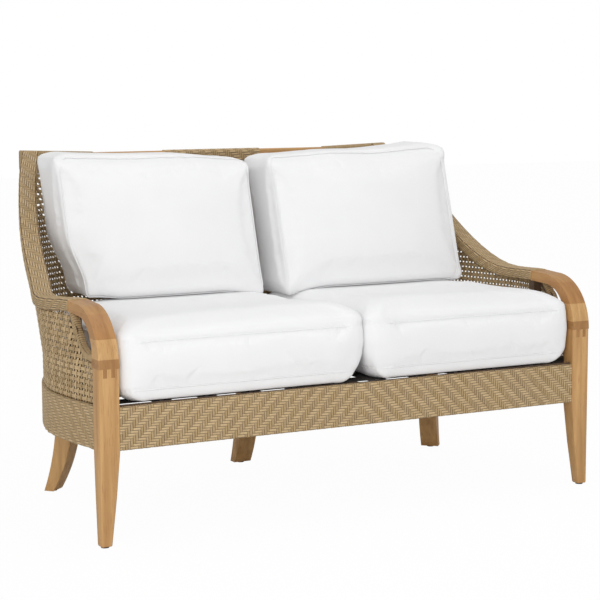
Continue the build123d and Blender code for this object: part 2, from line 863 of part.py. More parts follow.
# Open-weave side panels: under the rolled edge first, then under the swept rail
wing_drop = wrap_thickness + skin_gap
cane_end_share = share_where(wing_line, lambda point: point.Y >= wrap_end_y - joint_gap)
cane_sections = []
for step in range(edge_stations + 1):
    share = step / edge_stations
    tangent = edge_line % share
    away = Vector(0, tangent.Z, -tangent.Y)
    top = edge_line @ share + away * (edge_size / 2 + wrap_thickness + joint_gap)
    top_z = min(top.Z, bow_under - wing_drop)
    cane_sections.append(
        cane_section(
            (base_line @ (crescent_end_share * share), ACROSS),
            Vector(edge_x + cane_thickness / 2, top.Y, top_z),
            UP,
            side_knee_height,
        )
    )
for step in range(1, wing_stations + 1):
    wing_share = min(step / wing_stations, cane_end_share)
    share = crescent_end_share + (corner_share - crescent_end_share) * step / wing_stations
    slope = wing_line % wing_share
    under = bow_thickness / math.hypot(slope.X, slope.Y) + wing_drop
    bend_share = (share / corner_share) ** 2
    cane_sections.append(
        cane_section(
            base_at(share),
            wing_line @ wing_share - ACROSS * cane_top_inset - UP * under,
            ACROSS.cross(slope),
            side_knee_height + (back_knee_height - side_knee_height) * bend_share,
        )
    )
with BuildPart() as side_cane:
    loft(cane_sections, ruled=True)
save_pair(side_cane, "side_cane")

# Open-weave back panel, turned in under the corners of the top rail
cane_corner_x = corner_x - cane_top_inset
back_stations = []
for step in range(rear_stations + 1):
    share = corner_share + (1 - corner_share) * step / rear_stations
    top_x = cane_corner_x * (1 - step / rear_stations)
    top_y = cane_top_y if step else top_rail_front
    back_stations.append((base_at(max(share, corner_share + gap_share)), (top_x, top_y)))
for station, (top_x, top_y) in back_stations[-2::-1]:
    back_stations.append((flip(station), (-top_x, top_y)))
with BuildPart() as back_cane:
    loft(
        [
            cane_section(
                station, Vector(top_x, top_y, top_rail_under - wing_drop), UP, back_knee_height
            )
            for station, (top_x, top_y) in back_stations
        ],
        ruled=True,
    )
save(back_cane, "back_cane")

# Back posts inside the back panel, standing on the rear rails between two long straps
first_gap = long_strap_count // 2 + 1
post_offset = (long_strap_x[first_gap] + long_strap_x[first_gap + 1]) / 2
for name, x in (("left", -post_offset), ("middle", 0), ("right", post_offset)):
    plan_y = rear_plan_y(abs(x) + back_post_width / 2)
    post_rear_y = plan_y - cane_set_back - cane_thickness - joint_gap
    with BuildPart() as back_post:
        post_side = polygon(
            Plane.YZ.offset(x - back_post_width / 2),
            [
                (post_rear_y, rail_top + joint_gap),
                (post_rear_y, back_knee_height),
                (post_top_y, top_rail_under - joint_gap),
                (post_top_y - back_post_thickness, top_rail_under - joint_gap),
                (post_rear_y - back_post_thickness, back_knee_height),
                (post_rear_y - back_post_thickness, rail_top + joint_gap),
            ],
        )
        extrude(post_side, amount=back_post_width)
    save(back_post, f"back_post_{name}")


def cushion_section(level, low, high, pulls, radii):
    """Section of a cushion: its edges are drawn in, or bulge where the pull is negative.

    The corners run anticlockwise from the low one, and each pull belongs to the edge that
    ends at its corner: left, front, right, rear.
    """
    corners = [low, (high[0], low[1]), high, (low[0], high[1])]
    with BuildSketch(Plane.XY.offset(level)) as section:
        with BuildLine():
            for index, pull in enumerate(pulls):
                start, end = Vector(*corners[index - 1]), Vector(*corners[index])
                inward = UP.cross(end - start).normalized()
                ThreePointArc(start, (start + end) / 2 + inward * pull, end)
        make_face()
        for corner, radius in zip(corners, radii):
            fillet(section.vertices().sort_by_distance(Vector(*corner))[0], radius)
    return section.sketch


quarter_turns = [math.pi / 2 * step / crown_steps for step in range(crown_steps + 1)]
seat_bottom = deck_top + cushion_rest_gap
seat_low_seam = seat_bottom + seat_bottom_crown
seat_high_seam = seat_low_seam + seat_boxing
seat_top = seat_high_seam + seat_top_crown


def loft_seat_cushion(shrink):
    """Right-hand seat cushion: puffed boxing between a crowned top and bottom."""
    levels = []
    for turn in reversed(quarter_turns):
        inset = shrink + seat_bottom_reach * (1 - math.cos(turn))
        levels.append((seat_low_seam - (seat_bottom_crown - shrink) * math.sin(turn), inset))
    levels.append(((seat_low_seam + seat_high_seam) / 2, shrink - boxing_puff))
    for turn in quarter_turns:
        inset = shrink + seat_top_reach * (1 - math.cos(turn))
        levels.append((seat_high_seam + (seat_top_crown - shrink) * math.sin(turn), inset))
    seat_rear_y = front_y + base_depth - seat_rear_gap
    sections = [
        cushion_section(
            level,
            (seat_cushion_gap / 2 + inset, front_y + seat_set_back + inset),
            (leg_in - seat_side_gap - inset, seat_rear_y - inset),
            [side_pull] * 4,
            [seat_corner_radius, seat_corner_radius, seat_rear_corner_radius, seat_corner_radius],
        )
        for level, inset in levels
    ]
    with BuildPart(mode=Mode.PRIVATE) as cushion:
        loft(sections, ruled=True)
    return cushion.part


def loft_back_cushion(shrink, inner_x, front):
    """Back cushion as leaning sections: straight edges, with a crowned front and rear."""
    straight = back_cushion_height - 2 * back_cushion_radius
    rims = [
        (back_cushion_radius * (1 - math.cos(turn)), 1 - math.sin(turn)) for turn in quarter_turns
    ]
    heights = list(rims)
    for step in range(1, back_middle_levels):
        heights.append((back_cushion_radius + straight * step / back_middle_levels, 0))
    heights += [(back_cushion_height - height, tuck) for height, tuck in reversed(rims)]
    bottom = seat_top + cushion_rest_gap
    sections = []
    for height, tuck in heights:
        share = height / back_cushion_height
        level = bottom + shrink + (back_cushion_height - 2 * shrink) * share
        near_y = front + (level - bottom) * math.tan(math.radians(back_cushion_lean))
        side_inset = shrink + back_cushion_radius * tuck
        face_inset = shrink + back_edge_reach * tuck
        fullness = 1 - abs(2 * share - 1) ** back_crown_power
        crown = back_edge_crown + (back_crown - back_edge_crown) * fullness
        sections.append(
            cushion_section(
                level,
                (inner_x + side_inset, near_y + face_inset),
                (
                    inner_x + back_cushion_width - side_inset,
                    near_y + back_cushion_boxing - face_inset,
                ),
                [side_pull, -crown, side_pull, -crown],
                [back_seam_radius] * 4,
            )
        )
    with BuildPart(mode=Mode.PRIVATE) as cushion:
        loft(sections, ruled=True)
    return cushion.part


# Seat cushions: a sewn cover round a core
seat_outer = loft_seat_cushion(0)
seat_inner = loft_seat_cushion(cover_thickness)
seat_filling = loft_seat_cushion(cover_thickness + core_gap)
with BuildPart() as seat_cushion_cover:
    add(seat_outer)
    add(seat_inner, mode=Mode.SUBTRACT)
save_pair(seat_cushion_cover, "seat_cushion_cover")
with BuildPart() as seat_cushion_core:
    add(seat_filling)
save_pair(seat_cushion_core, "seat_cushion_core")

# Back cushions, the left one set a little further back
back_front = front_y + base_depth - back_cushion_room
back_sides = (
    ("right", back_cushion_gap, back_front),
    ("left", -corner_x, back_front + back_cushion_stagger),
)
for name, inner_x, front in back_sides:
    back_outer = loft_back_cushion(0, inner_x, front)
    back_inner = loft_back_cushion(cover_thickness, inner_x, front)
    back_filling = loft_back_cushion(cover_thickness + core_gap, inner_x, front)
    with BuildPart() as back_cushion_cover:
        add(back_outer)
        add(back_inner, mode=Mode.SUBTRACT)
    save(back_cushion_cover, f"back_cushion_cover_{name}")
    with BuildPart() as back_cushion_core:
        add(back_filling)
    save(back_cushion_core, f"back_cushion_core_{name}")
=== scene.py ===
# %% [markdown]
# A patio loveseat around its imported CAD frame. The real seat has oiled teak legs and arms, a shell
# woven from flat resin strands, and loose cushions in white canvas. The frame gives every place and
# size in metres, so each piece here is worked out from the boxes and meshes of its CAD nodes.

import bmesh
import bpy
import math
import numpy as np
from mathutils import Matrix, Vector
from mathutils.bvhtree import BVHTree


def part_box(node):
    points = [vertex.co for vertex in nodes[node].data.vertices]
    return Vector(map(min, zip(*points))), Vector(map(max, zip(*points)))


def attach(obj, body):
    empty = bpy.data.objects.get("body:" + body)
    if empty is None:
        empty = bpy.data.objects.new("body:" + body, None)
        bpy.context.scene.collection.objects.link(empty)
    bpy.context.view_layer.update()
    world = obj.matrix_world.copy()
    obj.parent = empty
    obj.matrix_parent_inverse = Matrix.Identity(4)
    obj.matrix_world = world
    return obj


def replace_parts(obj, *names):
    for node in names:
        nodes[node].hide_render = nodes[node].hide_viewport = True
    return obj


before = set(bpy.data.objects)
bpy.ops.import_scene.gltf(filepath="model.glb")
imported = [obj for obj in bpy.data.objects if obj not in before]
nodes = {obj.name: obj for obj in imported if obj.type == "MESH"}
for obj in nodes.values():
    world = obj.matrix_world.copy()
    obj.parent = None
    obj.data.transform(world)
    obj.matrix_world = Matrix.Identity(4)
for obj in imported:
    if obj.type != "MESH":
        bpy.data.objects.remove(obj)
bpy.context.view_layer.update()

# %% [markdown]
# The photograph was taken with a long lens from the left of the front, a little above the arms. The
# place and the angles below come from lines of known direction: the legs, the apron and the top rail.

# %% Camera
camera_place = (-2.180, -4.240, 1.102)
camera_turn = math.radians(27.87)
camera_dip = math.radians(7.17)
camera_roll = math.radians(-0.17)
lens_length = 104.9
sensor_width = 36.0
camera_data = bpy.data.cameras.new("camera")
camera_data.lens = lens_length
camera_data.sensor_width = sensor_width
camera = bpy.data.objects.new("camera", camera_data)
bpy.context.collection.objects.link(camera)
camera.matrix_world = (
    Matrix.Translation(camera_place)
    @ Matrix.Rotation(-camera_turn, 4, "Z")
    @ Matrix.Rotation(math.pi / 2 - camera_dip, 4, "X")
    @ Matrix.Rotation(camera_roll, 4, "Z")
)
bpy.context.scene.camera = camera
bpy.context.scene.view_settings.view_transform = "Standard"
print("camera at", camera_place)

# %% [markdown]
# A material is a small network of nodes. These helpers keep the cells below short: one makes a
# material with its Principled shader, one adds a node with its settings, and one links sockets.


# %% Node helpers
def add_node(tree, kind, sockets=None, **settings):
    """Adds a shader node to a tree, with its plain properties and the values of its sockets."""
    node = tree.nodes.new(f"ShaderNode{kind}")
    for name, value in settings.items():
        setattr(node, name, value)
    for socket, value in (sockets or {}).items():
        node.inputs[socket].default_value = value
    return node


def add_mix(tree, sockets=None, blend="MIX"):
    """Adds a node that mixes two colours."""
    return add_node(tree, "Mix", sockets, data_type="RGBA", blend_type=blend)


def connect(tree, *links):
    """Links nodes: each link is a node and its output, then a node and its input."""
    for source, output, target, socket in links:
        tree.links.new(source.outputs[output], target.inputs[socket])


def start_material(name, roughness, **sockets):
    """A new material: returns it with its tree and its Principled shader."""
    material = bpy.data.materials.new(name)
    material.use_nodes = True
    shader = material.node_tree.nodes["Principled BSDF"]
    shader.inputs["Roughness"].default_value = roughness
    for socket, value in sockets.items():
        shader.inputs[socket.replace("_", " ")].default_value = value
    return material, material.node_tree, shader


def start_group(name, inputs):
    """A new shader group that gives a colour and a height: returns its tree and its two ends."""
    tree = bpy.data.node_groups.new(name, "ShaderNodeTree")
    for label, kind, value in inputs:
        socket = tree.interface.new_socket(label, in_out="INPUT", socket_type=kind)
        if value is not None:
            socket.default_value = value
    for label, kind in (("Color", "NodeSocketColor"), ("Height", "NodeSocketFloat")):
        tree.interface.new_socket(label, in_out="OUTPUT", socket_type=kind)
    return tree, tree.nodes.new("NodeGroupInput"), tree.nodes.new("NodeGroupOutput")


def link_bump(tree, height, shader, distance):
    """Feeds a height to the shader's normal through a Bump node."""
    bump = add_node(tree, "Bump", {"Distance": distance})
    tree.links.new(height, bump.inputs["Height"])
    connect(tree, (bump, "Normal", shader, "Normal"))


# %% [markdown]
# Wood shows long streaks along the grain, with fine darker pores inside them. Both come from noise
# that is stretched along the grain, so the group takes a place that each material has already
# squeezed along its own direction.

# %% Wood grain group
grain_group, grain_in, grain_out = start_group("wood grain", [
    ("Place", "NodeSocketVector", None), ("Light", "NodeSocketColor", (1, 1, 1, 1)),
    ("Dark", "NodeSocketColor", (0, 0, 0, 1)),
])
streaks = add_node(grain_group, "TexNoise", {"Scale": 60.0, "Detail": 6.0, "Distortion": 0.6})
pores = add_node(grain_group, "TexNoise", {"Scale": 420.0, "Detail": 3.0})
streak_ramp = add_node(grain_group, "MapRange", {"From Min": 0.32, "From Max": 0.68})
pore_ramp = add_node(grain_group, "MapRange", {"From Min": 0.56, "From Max": 0.72})
grain_mix = add_mix(grain_group)
pore_mix = add_mix(grain_group, {"B": (0.72, 0.62, 0.52, 1)}, "MULTIPLY")
pore_share = add_node(grain_group, "Math", {1: 0.7}, operation="MULTIPLY")
connect(
    grain_group,
    (grain_in, "Place", streaks, "Vector"), (grain_in, "Place", pores, "Vector"),
    (streaks, "Fac", streak_ramp, "Value"), (pores, "Fac", pore_ramp, "Value"),
    (streak_ramp, "Result", grain_mix, "Factor"), (grain_in, "Light", grain_mix, "A"),
    (grain_in, "Dark", grain_mix, "B"), (pore_ramp, "Result", pore_share, 0),
    (pore_share, "Value", pore_mix, "Factor"), (grain_mix, "Result", pore_mix, "A"),
    (pore_mix, "Result", grain_out, "Color"), (streaks, "Fac", grain_out, "Height"),
)
print("group", grain_group.name)


# %% Teak and hidden wood
def make_wood(name, squeeze, light, dark, roughness):
    """Wood whose grain runs along the axis with the smallest squeeze."""
    material, tree, shader = start_material(name, roughness)
    place = add_node(tree, "TexCoord")
    mapping = add_node(tree, "Mapping", {"Scale": squeeze})
    grain = add_node(tree, "Group", {"Light": light, "Dark": dark}, node_tree=grain_group)
    connect(
        tree, (place, "Object", mapping, "Vector"), (mapping, "Vector", grain, "Place"),
        (grain, "Color", shader, "Base Color"),
    )
    link_bump(tree, grain.outputs["Height"], shader, 0.0004)
    return material


teak_light = (0.590, 0.345, 0.135, 1)
teak_dark = (0.430, 0.225, 0.078, 1)
teak_upright, teak_along, teak_arm = (
    make_wood(f"teak_{way}", squeeze, teak_light, teak_dark, 0.5)
    for way, squeeze in (("upright", (1, 1, 0.06)), ("along", (0.06, 1, 1)), ("arm", (1, 0.10, 0.16)))
)


def tint_by_height(material, low, high, stops):
    """Multiplies a wood's colour by tones at heights: glued-up blocks, and painted shade higher up."""
    tree = material.node_tree
    shader = tree.nodes["Principled BSDF"]
    grain = shader.inputs["Base Color"].links[0].from_node
    place = add_node(tree, "TexCoord")
    parts = add_node(tree, "SeparateXYZ")
    span = add_node(tree, "MapRange", {"From Min": low, "From Max": high})
    ramp = add_node(tree, "ValToRGB")
    tones = ramp.color_ramp.elements
    ramp.color_ramp.interpolation = "CONSTANT"
    tones.remove(tones[1])
    tones[0].color = (*stops[0][1], 1)
    for height, tone in stops[1:]:
        tones.new((height - low) / (high - low)).color = (*tone, 1)
    blend = add_mix(tree, {"Factor": 1.0}, "MULTIPLY")
    connect(
        tree, (place, "Object", parts, "Vector"), (parts, "Z", span, "Value"),
        (span, "Result", ramp, "Fac"), (grain, "Color", blend, "A"), (ramp, "Color", blend, "B"),
        (blend, "Result", shader, "Base Color"),
    )


# The two upper tones darken the top of the arm as painted shade; the steps between the tones stand for
# the glued-up teak blocks.
tint_by_height(teak_arm, 0.40, 0.60, (
    (0.40, (0.70, 0.62, 0.52)), (0.452, (1.08, 1.12, 1.16)), (0.498, (0.80, 0.70, 0.60)),
    (0.552, (0.86, 0.80, 0.72)),
))
frame_wood = make_wood(
    "frame_wood", (0.1, 0.1, 0.1), (0.14, 0.085, 0.045, 1), (0.07, 0.042, 0.025, 1), 0.7
)
print("teak in three grain directions, and frame wood")

# %% [markdown]
# Every woven mesh below carries two numbers on its points: lift, from 0 in a groove to 1 on top of a
# strand, and tint, one value per strand. The group turns them into colour: grooves get painted shade,
# and no two neighbouring strands are quite the same tan.

# %% Strand tone group
strand_group, strand_in, strand_out = start_group("strand tone", [
    ("Pale", "NodeSocketColor", (1, 1, 1, 1)), ("Deep", "NodeSocketColor", (0, 0, 0, 1)),
    ("Groove shade", "NodeSocketColor", (0, 0, 0, 1)),
])
tint = add_node(strand_group, "Attribute", attribute_name="tint")
lift = add_node(strand_group, "Attribute", attribute_name="lift")
fibre_place = add_node(strand_group, "TexCoord")
fibre = add_node(strand_group, "TexNoise", {"Scale": 900.0, "Detail": 2.0})
strand_mix = add_mix(strand_group)
groove_shade_ramp = add_node(
    strand_group, "MapRange", {"From Min": 0.05, "From Max": 0.8}, interpolation_type="SMOOTHSTEP"
)
groove_shade_mix = add_mix(strand_group)
connect(
    strand_group,
    (tint, "Fac", strand_mix, "Factor"), (strand_in, "Pale", strand_mix, "A"),
    (strand_in, "Deep", strand_mix, "B"), (lift, "Fac", groove_shade_ramp, "Value"),
    (groove_shade_ramp, "Result", groove_shade_mix, "Factor"), (strand_in, "Groove shade", groove_shade_mix, "A"),
    (strand_mix, "Result", groove_shade_mix, "B"), (groove_shade_mix, "Result", strand_out, "Color"),
    (fibre_place, "Object", fibre, "Vector"), (fibre, "Fac", strand_out, "Height"),
)

# %% Strands
strand_tones = {
    "Pale": (0.580, 0.420, 0.228, 1),
    "Deep": (0.350, 0.236, 0.108, 1),
    # The groove colour is painted shade in the grooves between strands.
    "Groove shade": (0.070, 0.044, 0.022, 1),
}
strands, strands_tree, strands_shader = start_material("strands", 0.55)
strand_tone = add_node(strands_tree, "Group", strand_tones, node_tree=strand_group)
connect(strands_tree, (strand_tone, "Color", strands_shader, "Base Color"))
link_bump(strands_tree, strand_tone.outputs["Height"], strands_shader, 0.0002)
print("strand material")


# %% Plain finishes with their own texture
def make_speckled(name, light, dark, scale, roughness, bump, **sockets):
    """A finish with cloudy colour and fine grain, for small and hidden pieces."""
    material, tree, shader = start_material(name, roughness, **sockets)
    place = add_node(tree, "TexCoord")
    noise = add_node(tree, "TexNoise", {"Scale": scale, "Detail": 4.0})
    mix = add_mix(tree, {"A": light, "B": dark})
    connect(
        tree, (place, "Object", noise, "Vector"), (noise, "Fac", mix, "Factor"),
        (mix, "Result", shader, "Base Color"),
    )
    link_bump(tree, noise.outputs["Fac"], shader, bump)
    return material


# Painted shade: a flat dark brown for the woven CAD shells, standing for the shade behind the weave.
painted_shade_backing = make_speckled("painted_shade_backing", (0.13, 0.085, 0.045, 1), (0.07, 0.045, 0.025, 1), 300, 0.8, 0.0006)
webbing = make_speckled("webbing", (0.06, 0.05, 0.045, 1), (0.03, 0.025, 0.02, 1), 700, 0.9, 0.0004)
steel = make_speckled(
    "steel", (0.55, 0.55, 0.56, 1), (0.40, 0.40, 0.41, 1), 500, 0.35, 0.0001, Metallic=1.0
)
glide_plastic = make_speckled(
    "glide_plastic", (0.05, 0.05, 0.05, 1), (0.03, 0.03, 0.03, 1), 400, 0.5, 0.0002
)

# %% [markdown]
# Canvas is white thread, woven so finely that only a soft grain shows from a step away. Two crossed
# bands of waves stand for the threads, and slow noise darkens the white in patches as painted shade of
# a filled cover's unevenness.

# %% Canvas
canvas, canvas_tree, canvas_shader = start_material(
    "canvas", 0.9, Sheen_Weight=0.15, Sheen_Roughness=0.5, Specular_IOR_Level=0.25
)
canvas_place = add_node(canvas_tree, "TexCoord")
thread_sum = add_node(canvas_tree, "Math", operation="ADD")
for index, direction in enumerate(("X", "Z")):
    threads = add_node(
        canvas_tree, "TexWave", {"Scale": 300.0, "Distortion": 0.4}, bands_direction=direction
    )
    connect(
        canvas_tree, (canvas_place, "Object", threads, "Vector"), (threads, "Fac", thread_sum, index)
    )
cloud = add_node(canvas_tree, "TexNoise", {"Scale": 9.0, "Detail": 3.0})
# Slow noise mixes in a slightly darker white as painted shade of an uneven filling.
canvas_shade_mix = add_mix(canvas_tree, {"A": (0.885, 0.885, 0.890, 1), "B": (0.850, 0.850, 0.855, 1)})
connect(
    canvas_tree, (canvas_place, "Object", cloud, "Vector"), (cloud, "Fac", canvas_shade_mix, "Factor"),
    (canvas_shade_mix, "Result", canvas_shader, "Base Color"),
)
link_bump(canvas_tree, thread_sum.outputs["Value"], canvas_shader, 0.0001)
print("canvas")

# %% [markdown]
# The CAD nodes that stay in view get a finish each. Assigning to the slot changes no mesh.

# %% Finishes of the CAD nodes
node_finishes = (
    (steel, ["block_screws", "strap_tacks"]),
    (glide_plastic, ["leg_glides"]),
    (webbing, ["cross_straps", "long_straps"]),
    # the woven CAD shells take the dark brown of painted shade
    (painted_shade_backing, [name for name in nodes if "cane" in name or "band" in name or "wrap" in name
              or name == "apron_weave"]),
)
finish_of = {name: finish for finish, names in node_finishes for name in names}
for name, node in nodes.items():
    node.data.materials.clear()
    node.data.materials.append(finish_of.get(name, frame_wood))
print(len(finish_of), "nodes with their own finish, the others in frame wood")


# %% [markdown]
# Planed teak never has a razor edge. Each teak piece is a copy of its CAD mesh with the long edges
# rounded by a bevel, while the finger joints stay sharp, so the joint still reads as a joint.


# %% Softened teak
def cad_copy(node):
    """A bmesh of a CAD node, with its split points joined again."""
    shape = bmesh.new()
    shape.from_mesh(nodes[node].data)
    bmesh.ops.remove_doubles(shape, verts=shape.verts, dist=0.00002)
    return shape


def to_mesh(shape, name, mesh=None):
    """Writes a bmesh to a mesh, which is new if none is given."""
    mesh = mesh or bpy.data.meshes.new(name)
    shape.to_mesh(mesh)
    shape.free()
    return mesh


def add_piece(name, mesh, material, body="frame"):
    """Links a mesh as a piece of the loveseat that rides on a body."""
    mesh.materials.clear()
    mesh.materials.append(material)
    piece = bpy.data.objects.new(name, mesh)
    bpy.context.collection.objects.link(piece)
    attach(piece, body)
    return piece


def soften(node, material, width, low=-1.0, high=2.0):
    """A copy of a teak node with its edges rounded between two heights."""
    shape = cad_copy(node)
    bmesh.ops.dissolve_limit(
        shape, angle_limit=math.radians(0.5), verts=shape.verts, edges=shape.edges
    )
    sharp = []
    for edge in shape.edges:
        middle = (edge.verts[0].co + edge.verts[1].co) / 2
        if len(edge.link_faces) == 2 and low < middle.z < high:
            long_enough = edge.calc_length() > 2 * width
            if edge.calc_face_angle() > math.radians(40) and long_enough:
                sharp.append(edge)
    bmesh.ops.bevel(
        shape, geom=sharp, offset=width, segments=3, profile=0.5, affect="EDGES", clamp_overlap=True
    )
    mesh = to_mesh(shape, f"{node}_teak")
    mesh.shade_smooth()
    mesh.set_sharp_from_angle(angle=math.radians(30))
    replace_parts(add_piece(f"{node}_teak", mesh, material), node)


edge_rounding = 0.0035
leg_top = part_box("front_leg_left")[1][2]
finger_reach = 0.022
glide_zone = 0.01
for side in ("left", "right"):
    soften(f"front_leg_{side}", teak_upright, edge_rounding, high=leg_top - finger_reach)
    soften(f"arm_bow_{side}", teak_arm, edge_rounding, low=leg_top + 0.001)
    soften(f"rear_leg_{side}", teak_upright, edge_rounding, low=glide_zone)
soften("rear_leg_middle", teak_upright, edge_rounding, low=glide_zone)
soften("back_top_rail", teak_along, edge_rounding)
print("teak pieces softened")


# %% [markdown]
# Woven work is built as a sheet of small cells, one for each crossing of two strands. Where the
# upright strand is on top, its two sides are grooves, and where the level strand is on top, its upper
# and lower edges are. Nine points for each crossing are enough to cut every strand crisply, which a


# %% Woven sheets
random = np.random.default_rng(7)
strand_pitch = 0.0067
strand_rise = 0.0019
cell_shares = np.array([0.0, 0.2, 0.8])
# Low lift in the grooves and at the float ends also darkens the colour there as painted shade.
groove_lift, crossing_lift, end_lift = 0.04, 0.28, 0.84


def twill(columns, rows):
    """Which crossings have the upright strand on top, in a twill over three and under three."""
    column, row = np.meshgrid(np.arange(columns), np.arange(rows), indexing="ij")
    return (column - row) % 6 < 3


def mirrored_twill(columns, rows):
    """Herringbone: the twill leans one way left of the middle and the other way right of it."""
    half = twill(columns - columns // 2, rows)
    return np.concatenate([half[: columns // 2], half[::-1]], axis=0)


def wound(columns, rows):
    """Strands that all run round, side by side, as on a wound edge."""
    return np.ones((columns, rows), bool)


def cell_positions(count):
    """Places of the grid lines along one direction, in cells."""
    places = (np.arange(count)[:, None] + cell_shares[None, :]).ravel()
    return np.append(places, count)


def weave_relief(over, closed):
    """Lift and tint on the grid lines of a woven sheet."""
    columns, rows = over.shape
    steps = len(cell_shares)
    lift = np.zeros((columns * steps + 1, rows * steps + 1))
    shade = np.zeros_like(lift)
    # Uprights take the deep half of the tones and level strands the pale half, as painted light from
    # above; the random parts are each strand's own tone.
    upright_tint = random.random((columns, 1)) * 0.3 + random.random((columns, rows)) * 0.2 + 0.5
    level_tint = random.random((1, rows)) * 0.3 + random.random((columns, rows)) * 0.2
    tints = np.where(over, upright_tint, level_tint)
    before_column = np.concatenate([over[:1], over[:-1]], axis=0)
    after_column = np.concatenate([over[1:], over[-1:]], axis=0)
    before_row = np.concatenate([over[:, -1:] if closed else over[:, :1], over[:, :-1]], axis=1)
    after_row = np.concatenate([over[:, 1:], over[:, :1] if closed else over[:, -1:]], axis=1)
    middle = np.where(over, before_row & after_row, ~before_column & ~after_column)
    crest = np.where(middle, 1.0, end_lift)
    both, either = over & before_column, over | before_column
    side_line = np.where(both, groove_lift, np.where(either, crossing_lift, 1.0))
    both, either = over & before_row, over | before_row
    edge_line = np.where(both, 1.0, np.where(either, crossing_lift, groove_lift))
    for first in range(steps):
        for second in range(steps):
            if first and second:
                value = crest
            elif second:
                value = np.minimum(side_line, crest)
            elif first:
                value = np.minimum(edge_line, crest)
            else:
                value = np.minimum(side_line, edge_line)
            lift[first:-1:steps, second:-1:steps] = value
            shade[first:-1:steps, second:-1:steps] = tints
    lift[-1], shade[-1] = lift[0], shade[-2]
    if closed:
        lift[[0, -1]] = end_lift
    lift[:, -1], shade[:, -1] = lift[:, 0], shade[:, -2]
    return lift, shade


def strand_mesh(name, points, faces, lifts, tints):
    """A mesh that carries lift and tint on its points."""
    mesh = bpy.data.meshes.new(name)
    mesh.from_pydata(points, [], faces)
    for label, values in (("lift", lifts), ("tint", tints)):
        attribute = mesh.attributes.new(label, "FLOAT", "POINT")
        attribute.data.foreach_set("value", np.array(values, np.float32).ravel())
    return mesh


def sheet_mesh(name, points, lift, shade, closed):
    """Closed mesh from a grid of points: a tube with two ends, or a sheet with a plain back."""
    if closed:
        points, lift, shade = points[:, :-1], lift[:, :-1], shade[:, :-1]
    length, width = lift.shape
    along = np.arange(length - 1)[:, None]
    across = np.arange(width)[None, :]
    beyond = (across + 1) % width
    corners = [along * width + across, (along + 1) * width + across]
    corners += [(along + 1) * width + beyond, along * width + beyond]
    faces = np.stack(np.broadcast_arrays(*corners), axis=-1).reshape(-1, 4).tolist()
    faces.append(list(range(width)))
    faces.append(list(range((length - 1) * width, length * width))[::-1])
    mesh = strand_mesh(name, points.reshape(-1, 3).tolist(), faces, lift, shade)
    shape = bmesh.new()
    shape.from_mesh(mesh)
    bmesh.ops.recalc_face_normals(shape, faces=shape.faces)
    to_mesh(shape, name, mesh)
    mesh.shade_smooth()
    return mesh


def weave(name, place, over, closed=False, first_row=0):
    """A woven piece: place gives points and outward directions from column and row positions."""
    columns, rows = over.shape
    lift, shade = weave_relief(over, closed)
    points, outward = place(cell_positions(columns), cell_positions(rows) + first_row)
    points = points + outward * (lift * strand_rise)[..., None]
    piece = add_piece(name, sheet_mesh(name, points, lift, shade, closed), strands)
    print(name, columns, "by", rows, "crossings")
    return piece


# %% [markdown]
# The strands of a flat panel turn over its upper and lower edges and end behind it. One extra row of
# crossings at each edge lies on the edge itself, and a plain back closes the piece.

# %% Folded edges
fold_rows = 1
fold_reach = 0.0062
edge_set_in = 0.0021
face_set_back = 0.0012


def fold(rows, count):
    """Share of the height, distance behind the face, and facing, for rows over both edges."""
    share = np.clip(rows / count, 0.0, 1.0)
    behind = np.maximum(0.0, np.maximum(-rows, rows - count)) * fold_reach / fold_rows
    above = np.where(rows > count, 1.0, np.where(rows == count, 0.7, 0.0))
    below = np.where(rows < 0, 1.0, np.where(rows == 0, 0.7, 0.0))
    face = np.where((rows > 0) & (rows < count), 1.0, np.where(behind > 0, 0.0, 0.7))
    return share, behind, above - below, face


# %% [markdown]
# The apron is flat between the front legs. Its twill leans one way on the left and the other way on
# the right, which makes a herringbone about the middle.

# %% Apron
apron_low, apron_high = (Vector(corner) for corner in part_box("apron_weave"))
apron_columns = 2 * round((apron_high.x - apron_low.x) / strand_pitch / 2)
apron_rows = round((apron_high.z - apron_low.z) / strand_pitch)
apron_crown = 0.0035


def place_on_apron(columns, rows):
    """Points on the front face of the apron, its top edge following the shallow arc."""
    across = apron_low.x + (apron_high.x - apron_low.x) * columns / apron_columns
    top = apron_high.z - edge_set_in - (across / apron_high.x) ** 2 * apron_crown
    low = apron_low.z + edge_set_in
    share, behind, upward, face = fold(rows, apron_rows)
    points = np.zeros((len(columns), len(rows), 3))
    points[..., 0] = across[:, None]
    points[..., 1] = apron_low.y + face_set_back + behind[None, :]
    points[..., 2] = low + (top[:, None] - low) * share[None, :]
    outward = np.stack([np.zeros_like(rows), -face, upward], axis=-1)
    return points, outward[None]


apron_over = mirrored_twill(apron_columns, apron_rows + 2 * fold_rows)
apron = weave("apron_strands", place_on_apron, apron_over, first_row=-fold_rows)
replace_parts(apron, "apron_weave")

# %% [markdown]
# The bands and the open panels wrap round the whole seat. Rays from outside, aimed at an upright axis
# inside the seat, find the woven walls of the CAD model at any angle and height.

# %% Rays on the woven walls
axis_x, axis_y = 0.0, -0.15
ray_reach = 1.5
first_angle, last_angle = math.radians(-40), math.radians(220)


def search_tree(meshes):
    """One search tree over several meshes."""
    points, faces = [], []
    for mesh in meshes:
        start = len(points)
        points += [vertex.co.copy() for vertex in mesh.vertices]
        faces += [[start + index for index in face.vertices] for face in mesh.polygons]
    return BVHTree.FromPolygons(points, faces)


def wall_point(tree, angle, height):
    """Point and outward direction where a level ray from outside meets a wall, or None."""
    away = Vector((math.cos(angle), math.sin(angle), 0))
    start = Vector((axis_x, axis_y, height)) + away * ray_reach
    point, normal, _, _ = tree.ray_cast(start, -away, ray_reach)
    if point is None:
        return None
    return point, normal if normal.dot(away) > 0 else -normal


